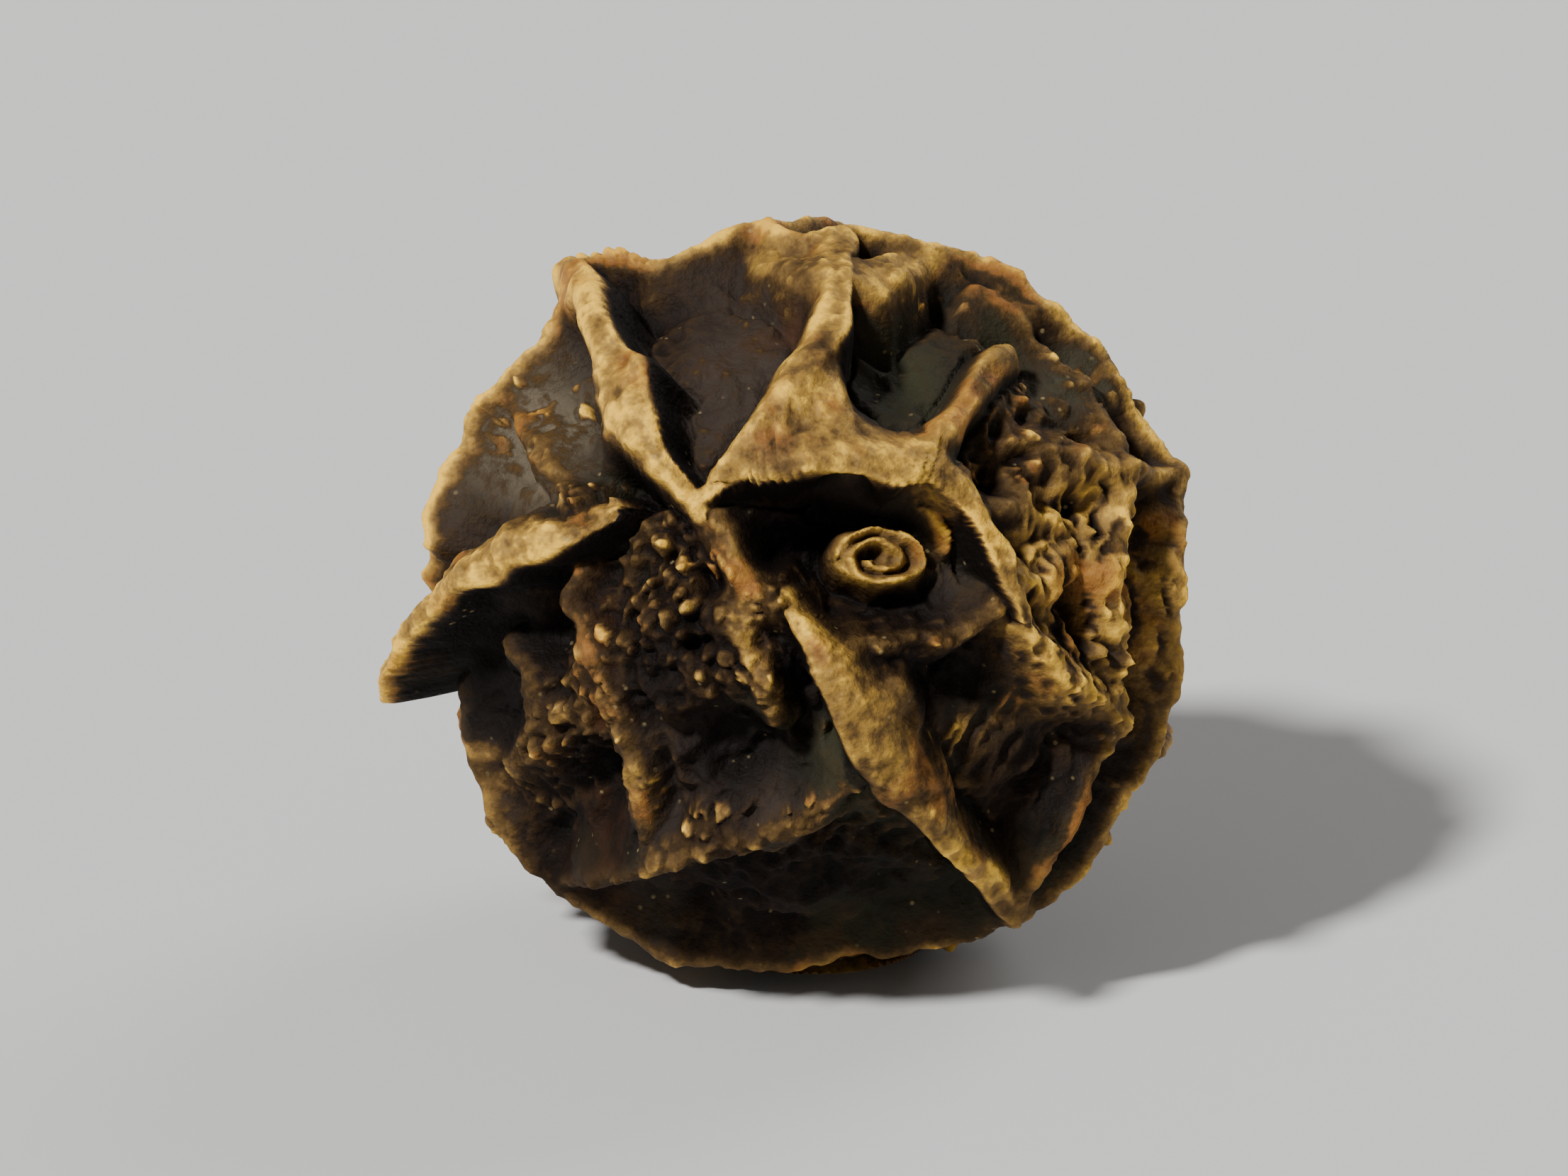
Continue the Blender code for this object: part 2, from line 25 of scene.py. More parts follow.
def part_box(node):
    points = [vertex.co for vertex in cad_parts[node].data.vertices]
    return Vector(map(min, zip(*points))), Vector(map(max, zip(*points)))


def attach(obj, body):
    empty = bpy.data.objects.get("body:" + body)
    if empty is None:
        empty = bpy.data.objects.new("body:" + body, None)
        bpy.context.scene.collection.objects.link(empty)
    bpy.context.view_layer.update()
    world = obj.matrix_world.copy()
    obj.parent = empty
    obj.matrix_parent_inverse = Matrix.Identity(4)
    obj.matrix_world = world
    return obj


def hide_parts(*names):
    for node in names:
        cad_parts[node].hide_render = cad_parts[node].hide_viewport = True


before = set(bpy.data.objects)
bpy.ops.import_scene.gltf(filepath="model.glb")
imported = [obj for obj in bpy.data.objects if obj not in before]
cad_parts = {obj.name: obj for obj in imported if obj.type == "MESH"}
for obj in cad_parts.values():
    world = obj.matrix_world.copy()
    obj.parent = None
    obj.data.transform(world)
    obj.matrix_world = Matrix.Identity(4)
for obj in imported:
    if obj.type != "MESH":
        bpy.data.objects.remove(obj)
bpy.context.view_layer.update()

LOG = logging.getLogger("black peppercorn")
MM = 0.001
GOLDEN_ANGLE = math.pi * (3 - math.sqrt(5))
CELL_NUMBER_STEP = 977
NOISE_MIDDLE = 0.5

Numbers = np.ndarray
# Millimetres right of and above the front's middle, and 1 on the front or 0 behind its outline
Spots = tuple[Numbers, Numbers, Numbers]
Colour = tuple[float, float, float]
Socket = bpy.types.NodeSocket


class RidgeKind(Enum):
    """How a fold or a ridge rises from the skin.

    Each has the reach of its flanks in millimetres, how broad its crest is (1 is an edge), how hollow its
    flanks are, the depth of the groove along its foot in millimetres, and where its tan starts and is full.
    """

    FOLD = (0.38, 2.8, 2.2, 0.060, (0.40, 0.92))
    RIDGE = (0.46, 1.3, 3.0, 0.015, (0.68, 0.99))
    WRINKLE = (0.25, 1.4, 2.0, 0.025, (0.50, 0.97))
    NET_RIDGE = (0.36, 1.2, 2.4, 0.030, (0.62, 1.0))

    def __init__(
        self, reach: float, breadth: float, hollowness: float, groove: float, tan: tuple[float, float]
    ) -> None:
        """Keeps the numbers under their names.

        Args:
            reach: How far the flanks reach, in millimetres.
            breadth: How broad the crest is.
            hollowness: How hollow the flanks are.
            groove: Depth of the groove along the foot, in millimetres.
            tan: How near the crest the tan colour starts, and how near it is full, where the crest is 1.
        """
        self.reach = reach
        self.breadth = breadth
        self.hollowness = hollowness
        self.groove = groove
        self.tan = tan


class Grain(Enum):
    """What a rough patch of skin is broken up into."""

    CRUMBS = "crumbs"
    STREAKS = "streaks"
    PITS = "pits"


@dataclass(frozen=True)
class DrawnLine:
    """A fold or ridge of the front.

    Each point is millimetres right of and above the front's middle, crest radius, and share of full width.
    The lean is how far its crest leans over at full width, in millimetres right and up, and the tone is how
    tan its crest is. One side may be undercut and steep, and is then darkened as painted shade: 1 is the side
    right of the way that it runs, and -1 the side left of it.
    """

    name: str
    kind: RidgeKind
    points: tuple[tuple[float, float, float, float], ...]
    lean: tuple[float, float] = (0.0, 0.0)
    tone: float = 1.0
    undercut: int = 0


@dataclass(frozen=True)
class Oval:
    """An oval place on the front, in millimetres right of and above its middle, turned by degrees."""

    right: float
    up: float
    half_width: float
    half_height: float
    turn: float = 0.0


@dataclass(frozen=True)
class Hollow:
    """A hollow in the front, or a swelling where its depth is below nought."""

    oval: Oval
    depth: float


@dataclass(frozen=True)
class Patch:
    """A rough patch of the front.

    It has its grain, how far the grain stands out in millimetres, and the way that streaks run, in degrees.
    """

    oval: Oval
    grain: Grain
    height: float
    run: float = 0.0


@dataclass(frozen=True)
class Ridge:
    """A fold or ridge in space.

    It has its crest's points, its share of full width at each of them, and the rest as it is drawn.
    """

    kind: RidgeKind
    points: Numbers
    widths: Numbers
    lean: Numbers
    tone: float
    undercut: int = 0


@dataclass(frozen=True)
class RidgeShape:
    """One fold or ridge as the skin's points near it meet it.

    Attributes:
        near: The numbers of those points.
        radius: The crest's distance from the middle of the berry, in millimetres.
        away: How far off the crest each is, as a share of the flank's reach.
        width: The share of full width.
        across: How far off the crest each is, in millimetres, below nought on one side.
        along: How far along the crest each is, in millimetres.
    """

    near: Numbers
    radius: Numbers
    away: Numbers
    width: Numbers
    across: Numbers
    along: Numbers


@dataclass(frozen=True)
class Raised:
    """What all folds and ridges together do to the skin, at each of its points.

    Attributes:
        lifted: How much they lift it, as a sum that grows very fast with height and so blends them smoothly.
        leaning: How far it leans over, in millimetres.
        groove: Depth of the grooves along their feet, in millimetres.
        tan: How tan it is.
        crest: How near it is to a crest, where the crest is 1.
        lines: Height of the fine lines along the folds, as a share of their full height.
        shade: How much painted shade it gets on an undercut side.
    """

    lifted: Numbers
    leaning: Numbers
    groove: Numbers
    tan: Numbers
    crest: Numbers
    lines: Numbers
    shade: Numbers


# Folds and ridges of the front that the solid has too
MAIN_LINES = (
    DrawnLine("left fold", RidgeKind.FOLD, (
        (-1.71, 2.44, 2.99, 0.85), (-1.57, 2.19, 2.90, 0.68), (-1.47, 1.94, 2.82, 0.66),
        (-1.33, 1.62, 2.78, 1.05), (-1.19, 1.31, 2.74, 1.05), (-1.07, 1.06, 2.68, 0.66),
        (-0.87, 0.80, 2.60, 0.38), (-0.73, 0.62, 2.54, 0.30),
    ), lean=(0.08, 0.0), undercut=-1),
    DrawnLine("middle fold", RidgeKind.FOLD, (
        (0.30, 2.54, 2.67, 0.90), (0.26, 2.29, 2.72, 0.72), (0.19, 1.96, 2.75, 0.68),
        (0.02, 1.64, 2.77, 0.92), (-0.20, 1.32, 2.77, 0.92), (-0.41, 1.03, 2.71, 0.66),
        (-0.58, 0.84, 2.64, 0.48), (-0.70, 0.72, 2.57, 0.36),
    ), lean=(0.08, 0.0), undercut=-1),
    DrawnLine("hood", RidgeKind.FOLD, (
        (-0.58, 0.80, 2.62, 0.5), (-0.32, 0.92, 2.70, 0.9), (0.02, 0.99, 2.78, 1.25),
        (0.36, 0.97, 2.79, 1.15), (0.70, 0.94, 2.76, 1.00), (0.96, 0.86, 2.71, 0.64),
        (1.16, 0.66, 2.68, 0.44), (1.32, 0.40, 2.68, 0.38), (1.45, 0.12, 2.67, 0.36),
        (1.58, -0.16, 2.66, 0.36),
    ), lean=(0.0, -0.22), undercut=1),
    DrawnLine("hood's web", RidgeKind.FOLD, (
        (0.04, 1.66, 2.73, 0.8), (0.06, 1.36, 2.75, 1.2), (0.32, 1.12, 2.75, 0.9),
    )),
    DrawnLine("hood's spur", RidgeKind.FOLD, (
        (0.78, 1.00, 2.70, 0.56), (0.99, 1.24, 2.67, 0.42), (1.18, 1.50, 2.60, 0.36),
        (1.45, 1.74, 2.54, 0.38),
    ), tone=0.55),
    DrawnLine("lower fold", RidgeKind.FOLD, (
        (-0.20, -0.02, 2.58, 0.36), (-0.06, -0.26, 2.68, 0.46), (0.10, -0.56, 2.78, 0.72),
        (0.33, -0.93, 2.82, 1.15), (0.54, -1.25, 2.81, 1.30), (0.86, -1.54, 2.78, 0.72),
        (1.16, -1.89, 2.76, 0.46), (1.46, -2.24, 2.80, 0.54),
    ), lean=(-0.10, -0.05), tone=0.78, undercut=1),
    DrawnLine("side fold", RidgeKind.FOLD, (
        (-1.45, 0.62, 2.54, 0.50), (-1.78, 0.43, 2.68, 0.80), (-2.10, 0.32, 2.80, 0.90),
        (-2.42, 0.17, 2.89, 0.84), (-2.68, -0.05, 2.96, 0.72), (-2.86, -0.28, 3.01, 0.58),
        (-2.95, -0.52, 3.06, 0.44), (-2.98, -0.70, 3.08, 0.32),
    ), lean=(-0.06, -0.14), undercut=-1),
    DrawnLine("side fold's root", RidgeKind.RIDGE, (
        (-1.78, 0.43, 2.54, 1.0), (-2.20, 0.22, 2.68, 1.3), (-2.52, 0.00, 2.74, 1.2),
        (-2.68, -0.24, 2.76, 0.8),
    ), tone=0.0),
    DrawnLine("middle fold's top", RidgeKind.FOLD, (
        (-0.32, 2.42, 2.50, 0.7), (-0.04, 2.36, 2.62, 0.9), (0.24, 2.30, 2.70, 1.1),
        (0.56, 2.34, 2.64, 1.0), (0.84, 2.38, 2.56, 0.8), (1.10, 2.38, 2.46, 0.6),
    ), tone=0.85),
    # Painted light: the top and left rims get the most tan and the right and bottom rims less, lighter where
    # the light falls from above and the left.
    DrawnLine("top rim", RidgeKind.RIDGE, (
        (-1.71, 2.44, 2.99, 1.0), (-1.30, 2.46, 2.82, 0.9), (-1.03, 2.38, 2.66, 0.8),
        (-0.70, 2.54, 2.70, 0.8), (-0.36, 2.64, 2.71, 0.9), (-0.03, 2.54, 2.66, 0.9),
        (0.37, 2.57, 2.67, 0.9), (0.87, 2.50, 2.70, 0.9), (1.27, 2.39, 2.75, 1.0),
        (1.67, 2.15, 2.77, 1.0), (1.93, 1.94, 2.77, 1.0), (2.23, 1.54, 2.75, 0.9),
        (2.43, 1.17, 2.73, 0.9), (2.64, 0.86, 2.80, 1.0),
    ), tone=1.1),
    DrawnLine("right rim", RidgeKind.RIDGE, (
        (2.64, 0.86, 2.80, 1.0), (2.62, 0.32, 2.76, 0.9), (2.60, -0.36, 2.76, 0.9),
        (2.50, -0.94, 2.78, 0.9), (2.26, -1.40, 2.79, 0.9), (1.96, -1.84, 2.79, 0.9),
        (1.70, -2.12, 2.81, 0.9), (1.45, -2.24, 2.79, 0.9),
    ), tone=0.75),
    DrawnLine("bottom rim", RidgeKind.RIDGE, (
        (1.45, -2.24, 2.79, 0.9), (1.20, -2.38, 2.73, 0.8), (0.73, -2.48, 2.64, 0.7),
        (0.09, -2.57, 2.62, 0.7), (-0.49, -2.61, 2.70, 0.8), (-1.05, -2.52, 2.75, 0.9),
        (-1.35, -2.36, 2.73, 0.9), (-1.85, -1.99, 2.73, 0.9), (-2.20, -1.57, 2.72, 1.0),
        (-2.37, -1.22, 2.69, 1.0), (-2.44, -0.80, 2.59, 0.9), (-2.36, -0.38, 2.48, 0.7),
    ), tone=0.35),
    DrawnLine("left rim", RidgeKind.RIDGE, (
        (-2.70, 0.44, 2.80, 0.8), (-2.58, 0.86, 2.76, 0.9), (-2.42, 1.27, 2.77, 1.0),
        (-2.16, 1.57, 2.73, 0.9), (-1.90, 1.86, 2.74, 0.8), (-1.70, 2.20, 2.84, 0.7),
    ), tone=1.1),
    DrawnLine("lower fold's flank", RidgeKind.RIDGE, (
        (0.50, -1.26, 2.68, 0.8), (0.10, -1.52, 2.66, 1.0), (-0.47, -1.76, 2.66, 1.0),
        (-1.01, -1.88, 2.66, 1.0), (-1.46, -1.98, 2.68, 0.9), (-1.85, -1.99, 2.70, 0.8),
    ), tone=0.25),
    DrawnLine("ridge under the side fold", RidgeKind.WRINKLE, (
        (-1.68, 0.20, 2.50, 1.0), (-1.62, -0.30, 2.53, 1.0), (-1.44, -0.80, 2.50, 0.9),
        (-1.24, -1.24, 2.50, 1.0), (-1.10, -1.84, 2.60, 1.0),
    ), tone=0.5),
    DrawnLine("lower left ridge", RidgeKind.WRINKLE, (
        (-2.12, -0.30, 2.42, 1.0), (-1.98, -0.64, 2.48, 1.1), (-2.02, -1.04, 2.52, 1.1),
        (-2.26, -1.36, 2.64, 1.2),
    ), tone=0.5),
    DrawnLine("crumbs to the lower fold", RidgeKind.WRINKLE, (
        (-0.64, 0.56, 2.50, 1.2), (-0.54, 0.22, 2.54, 1.3), (-0.34, 0.02, 2.58, 1.4),
        (-0.15, -0.08, 2.60, 1.3),
    ), tone=0.5),
    DrawnLine("crumb spur", RidgeKind.WRINKLE, (
        (-0.44, 0.10, 2.50, 1.2), (-0.44, -0.30, 2.54, 1.2), (-0.34, -0.62, 2.60, 1.2),
        (-0.26, -0.82, 2.48, 1.0),
    ), tone=0.6),
    DrawnLine("under the pit", RidgeKind.WRINKLE, (
        (0.30, -0.36, 2.50, 1.0), (0.68, -0.34, 2.46, 0.9), (1.08, -0.24, 2.48, 0.9),
        (1.50, 0.02, 2.62, 0.9),
    ), tone=0.3),
    DrawnLine("hood's long leg", RidgeKind.RIDGE, (
        (1.58, -0.16, 2.66, 0.5), (1.76, -0.44, 2.67, 0.7), (1.98, -0.68, 2.67, 0.8),
        (2.24, -0.90, 2.66, 0.7),
    ), tone=0.85),
    DrawnLine("lower right ridge", RidgeKind.RIDGE, (
        (2.24, -0.90, 2.66, 0.7), (2.04, -1.28, 2.67, 0.8), (1.74, -1.74, 2.71, 0.8),
        (1.45, -2.24, 2.79, 0.9),
    ), tone=0.65),
    DrawnLine("cross ridge", RidgeKind.RIDGE, (
        (1.50, 1.06, 2.50, 0.5), (1.95, 1.00, 2.62, 0.5), (2.27, 0.90, 2.72, 0.6),
        (2.64, 0.86, 2.80, 0.7),
    ), tone=0.7),
    DrawnLine("inner right ridge", RidgeKind.WRINKLE, (
        (2.27, 0.90, 2.70, 1.1), (2.22, 0.48, 2.66, 0.9), (2.18, 0.05, 2.66, 0.8),
        (2.22, -0.42, 2.66, 0.9), (2.24, -0.90, 2.66, 0.8),
    ), tone=0.65),
    DrawnLine("upper right wrinkle", RidgeKind.WRINKLE, (
        (1.24, 0.64, 2.54, 0.9), (1.60, 0.68, 2.50, 0.8), (1.95, 1.00, 2.62, 1.0),
    ), tone=0.5),
    DrawnLine("right wrinkle", RidgeKind.WRINKLE, (
        (1.46, 0.14, 2.56, 0.9), (1.78, 0.16, 2.48, 0.8), (2.00, 0.36, 2.48, 0.8),
        (2.20, 0.30, 2.58, 0.8),
    ), tone=0.5),
    DrawnLine("inner top rim", RidgeKind.WRINKLE, (
        (1.18, 2.18, 2.58, 0.8), (1.60, 1.92, 2.60, 0.8), (1.96, 1.50, 2.60, 0.8),
        (2.22, 1.06, 2.66, 0.9),
    ), tone=0.4),
    DrawnLine("flake by the scar", RidgeKind.WRINKLE, (
        (0.68, 0.74, 2.22, 0.45), (0.84, 0.69, 2.38, 0.55), (0.96, 0.54, 2.40, 0.60),
        (0.98, 0.34, 2.30, 0.5),
    )),
    DrawnLine("upper left ridge", RidgeKind.WRINKLE, (
        (-2.16, 1.57, 2.68, 1.0), (-2.02, 1.20, 2.50, 1.0), (-1.86, 0.98, 2.50, 1.1),
        (-1.66, 0.76, 2.54, 1.1),
    ), tone=0.4),
)

# Hollows of the front that the solid has too
MAIN_HOLLOWS = (
    Hollow(Oval(0.26, 0.30, 0.86, 0.50), 0.50),
    Hollow(Oval(-0.60, 1.75, 0.42, 0.75), 0.08),
    Hollow(Oval(0.76, 1.84, 0.42, 0.40), 0.16),
    Hollow(Oval(1.12, -0.82, 0.55, 0.45), 0.14),
    Hollow(Oval(-0.56, -1.14, 0.44, 0.30), 0.20),
    Hollow(Oval(-0.08, -0.76, 0.14, 0.42, 17), 0.16),
    Hollow(Oval(-1.36, 0.94, 0.24, 0.24), 0.16),
    Hollow(Oval(-2.10, -0.20, 0.28, 0.40), 0.20),
    Hollow(Oval(-1.66, -1.38, 0.32, 0.28), 0.14),
    Hollow(Oval(0.10, -2.10, 0.95, 0.25), 0.08),
    Hollow(Oval(1.80, 1.30, 0.55, 0.50), -0.14),
    Hollow(Oval(2.15, 0.05, 0.60, 1.10), -0.16),
    Hollow(Oval(-1.02, -0.40, 0.45, 0.50), -0.14),
    Hollow(Oval(-0.60, -1.66, 0.90, 0.20), -0.12),
    Hollow(Oval(-1.88, -0.95, 0.40, 0.55), -0.12),
)

# Slits and pits that are too small for the solid
SMALL_HOLLOWS = (
    Hollow(Oval(1.78, 0.79, 0.11, 0.12), 0.15),
    Hollow(Oval(1.98, 0.74, 0.08, 0.10), 0.12),
    Hollow(Oval(1.60, 1.06, 0.10, 0.07), 0.10),
    Hollow(Oval(2.06, 1.14, 0.09, 0.06), 0.10),
    Hollow(Oval(1.72, 1.38, 0.08, 0.06), 0.08),
    Hollow(Oval(1.42, 1.30, 0.07, 0.10), 0.10),
    Hollow(Oval(-1.95, 0.05, 0.09, 0.30, -25), 0.16),
    Hollow(Oval(-1.84, -0.34, 0.10, 0.20, -20), 0.14),
    Hollow(Oval(-1.62, -1.36, 0.20, 0.12, 20), 0.14),
    Hollow(Oval(-2.30, 1.05, 0.10, 0.14), 0.10),
    Hollow(Oval(-1.72, 1.60, 0.07, 0.22, -10), 0.12),
    Hollow(Oval(2.40, 0.45, 0.06, 0.36), 0.16),
    Hollow(Oval(2.04, -0.10, 0.06, 0.22), 0.14),
    Hollow(Oval(2.36, -0.42, 0.05, 0.28), 0.12),
    Hollow(Oval(1.28, -0.58, 0.26, 0.20), 0.12),
    Hollow(Oval(-1.38, -0.20, 0.10, 0.12), 0.12),
    Hollow(Oval(-0.80, -0.36, 0.12, 0.08), 0.10),
)

# Rough patches of the front
PATCHES = (
    Patch(Oval(-0.92, 0.22, 0.42, 0.42), Grain.CRUMBS, 0.20),
    Patch(Oval(-1.38, 0.02, 0.36, 0.60), Grain.CRUMBS, 0.15),
    Patch(Oval(-0.32, -0.06, 0.26, 0.26), Grain.CRUMBS, 0.20),
    Patch(Oval(-0.36, -0.52, 0.24, 0.36), Grain.CRUMBS, 0.18),
    Patch(Oval(-0.98, -0.50, 0.45, 0.40), Grain.CRUMBS, 0.14),
    Patch(Oval(-1.85, -0.95, 0.45, 0.70), Grain.CRUMBS, 0.14),
    Patch(Oval(0.95, -0.28, 0.55, 0.18), Grain.CRUMBS, 0.12),
    Patch(Oval(2.06, -0.52, 0.36, 0.45), Grain.CRUMBS, 0.10),
    Patch(Oval(1.68, 1.20, 0.55, 0.48), Grain.CRUMBS, 0.05),
    Patch(Oval(1.95, 1.62, 0.50, 0.34, -45), Grain.CRUMBS, 0.06),
    Patch(Oval(2.30, -1.30, 0.30, 0.60, 35), Grain.CRUMBS, 0.09),
    Patch(Oval(1.30, -1.30, 0.50, 0.50), Grain.CRUMBS, 0.05),
    Patch(Oval(0.45, -0.85, 0.35, 0.60), Grain.CRUMBS, 0.03),
    Patch(Oval(-0.16, 2.30, 0.34, 0.24), Grain.CRUMBS, 0.04),
    Patch(Oval(0.85, 2.32, 0.50, 0.15), Grain.CRUMBS, 0.04),
    Patch(Oval(-2.02, 1.40, 0.28, 0.50, -35), Grain.CRUMBS, 0.04),
    Patch(Oval(-0.55, -1.66, 1.05, 0.22, 17), Grain.CRUMBS, 0.13),
    Patch(Oval(-1.28, -1.25, 0.24, 0.50, 15), Grain.CRUMBS, 0.08),
    Patch(Oval(-1.66, 0.86, 0.34, 0.22, 15), Grain.CRUMBS, 0.16),
    Patch(Oval(2.02, 0.05, 0.60, 0.80), Grain.CRUMBS, 0.07),
    Patch(Oval(2.02, 0.05, 0.60, 1.00), Grain.STREAKS, 0.03, run=98),
    Patch(Oval(0.10, -2.10, 1.00, 0.26), Grain.STREAKS, 0.03, run=60),
    Patch(Oval(1.55, -1.20, 0.50, 0.60), Grain.STREAKS, 0.03, run=60),
    Patch(Oval(1.60, 1.24, 0.50, 0.42), Grain.PITS, 0.12),
    Patch(Oval(-2.05, 1.20, 0.34, 0.50), Grain.PITS, 0.07),
    Patch(Oval(-1.90, -0.85, 0.42, 0.60), Grain.PITS, 0.12),
    Patch(Oval(1.70, 0.45, 0.40, 0.45), Grain.PITS, 0.10),
)

# Places of the front darkened nearly to black as painted shade, in hollows, pits and slits, under the hood
# and the side fold, and over the lower side, and how much
PAINTED_SHADE_OVALS = (
    (Oval(0.18, 0.58, 0.80, 0.34), 1.0),
    (Oval(0.80, 0.02, 0.40, 0.26), 0.9),
    (Oval(-0.33, 0.45, 0.24, 0.28), 0.8),
    (Oval(-0.58, -1.18, 0.50, 0.36), 1.0),
    (Oval(-0.05, -0.60, 0.13, 0.44, 17), 0.9),
    (Oval(-1.33, 0.96, 0.22, 0.26), 1.0),
    (Oval(-2.45, -0.50, 0.48, 0.66), 1.0),
    (Oval(-1.83, -0.10, 0.14, 0.34), 0.9),
    (Oval(-1.71, -1.35, 0.30, 0.26), 0.8),
    (Oval(-1.22, -0.70, 0.26, 0.34), 0.5),
    (Oval(-0.80, -0.34, 0.30, 0.22), 0.5),
    (Oval(1.22, -0.66, 0.42, 0.34), 0.9),
    (Oval(1.70, -1.40, 0.46, 0.60), 0.9),
    (Oval(2.30, -1.30, 0.26, 0.50, 35), 0.5),
    (Oval(0.58, 1.70, 0.34, 0.34), 0.5),
    (Oval(0.10, -2.16, 1.30, 0.34), 0.9),
    (Oval(-1.60, -1.85, 0.50, 0.30), 0.6),
    (Oval(2.35, 0.60, 0.10, 0.30), 0.7),
    (Oval(2.08, 0.00, 0.40, 0.60), 0.4),
    (Oval(-0.10, -1.30, 0.22, 0.26), 0.7),
)

# Hollows whose floor is smooth and grey, how green that grey is, and how pale
GREY_FLOORS = (
    (Oval(-0.56, 1.75, 0.55, 0.85), 0.1, 0.0),
    (Oval(0.78, 1.84, 0.52, 0.50), 1.0, 0.0),
    (Oval(-2.10, 1.20, 0.36, 0.62, -25), 0.3, 0.9),
    (Oval(2.05, 1.62, 0.35, 0.35), 0.8, 0.1),
    (Oval(1.40, -1.00, 0.45, 0.50), 0.5, 0.0),
)


@dataclass(frozen=True)
class Front:
    """The side of the berry with the stalk scar, and the way that it looks.

    Attributes:
        tilt: How far the front looks up, in degrees.
        fade: How far inside the outline all marks of the front fade out, as a cosine.
        oval_edge: How sharply an oval hollow or patch ends.
        curve_steps: How many straight runs make up a line between two of its points.
    """

    tilt: float = 20.0
    fade: float = 0.15
    oval_edge: int = 4
    curve_steps: int = 4

    @property
    def right(self) -> Numbers:
        """The way to the right, as the front is seen."""
        return np.array((1.0, 0.0, 0.0))

    @property
    def up(self) -> Numbers:
        """The way up along the front."""
        return np.array((0.0, math.sin(math.radians(self.tilt)), math.cos(math.radians(self.tilt))))

    @property
    def out(self) -> Numbers:
        """The way that the front looks."""
        return np.array((0.0, -math.cos(math.radians(self.tilt)), math.sin(math.radians(self.tilt))))

    def place(self, right: float, up: float, radius: float) -> Numbers:
        """Finds a point of the berry as the front shows it.

        Args:
            right: Millimetres to the right of the front's middle.
            up: Millimetres above the front's middle.
            radius: Millimetres from the middle of the berry.

        Returns:
            The point, in millimetres from the middle of the berry.
        """
        depth = math.sqrt(max(radius**2 - right**2 - up**2, 0.0))
        return right * self.right + up * self.up + depth * self.out

    def ridge(self, line: DrawnLine) -> Ridge:
        """Lifts a drawn line off the front, its foot moved so that its leaning crest ends where it is drawn.

        Args:
            line: The drawn fold or ridge.

        Returns:
            The same fold or ridge in space.
        """
        drawn = [(*self.place(right, up, radius), width) for right, up, radius, width in line.points]
        rows = curved(np.array(drawn), self.curve_steps)
        lean = line.lean[0] * self.right + line.lean[1] * self.up
        return Ridge(line.kind, rows[:, :3] - rows[:, 3:] * lean, rows[:, 3], lean, line.tone, line.undercut)

    def spots(self, directions: Numbers, radius: float) -> Spots:
        """Says where directions lie on the front.

        Args:
            directions: Unit vectors from the middle of the berry.
            radius: The skin's radius, in millimetres.

        Returns:
            Millimetres right of and above the front's middle, and 1 on the front or 0 behind its outline.
        """
        in_front = np.clip(directions @ self.out / self.fade, 0, 1)
        return directions @ self.right * radius, directions @ self.up * radius, in_front

    def oval_distance(self, spots: Spots, oval: Oval) -> Numbers:
        """Measures how far spots lie from an oval's middle.

        Args:
            spots: Places on the front.
            oval: The oval.

        Returns:
            The distances, which are 1 on the oval's edge.
        """
        turn = math.radians(oval.turn)
        east = spots[0] - oval.right
        north = spots[1] - oval.up
        across = math.cos(turn) * east + math.sin(turn) * north
        along = math.cos(turn) * north - math.sin(turn) * east
        return np.hypot(across / oval.half_width, along / oval.half_height)

    def inside(self, spots: Spots, oval: Oval) -> Numbers:
        """Masks an oval place on the front.

        Args:
            spots: Places on the front.
            oval: The oval.

        Returns:
            1 in the middle of the oval, 0 well outside it and behind the front's outline.
        """
        return np.exp(-self.oval_distance(spots, oval) ** self.oval_edge) * spots[2]

    def marked(self, spots: Spots, marks: Iterable[tuple[Oval, float]]) -> Numbers:
        """Masks several oval marks, the strongest of which counts where they overlap.

        Args:
            spots: Places on the front.
            marks: The ovals, and how strong each of them is.

        Returns:
            How strongly each spot is marked.
        """
        return np.max([strength * self.inside(spots, oval) for oval, strength in marks], axis=0)


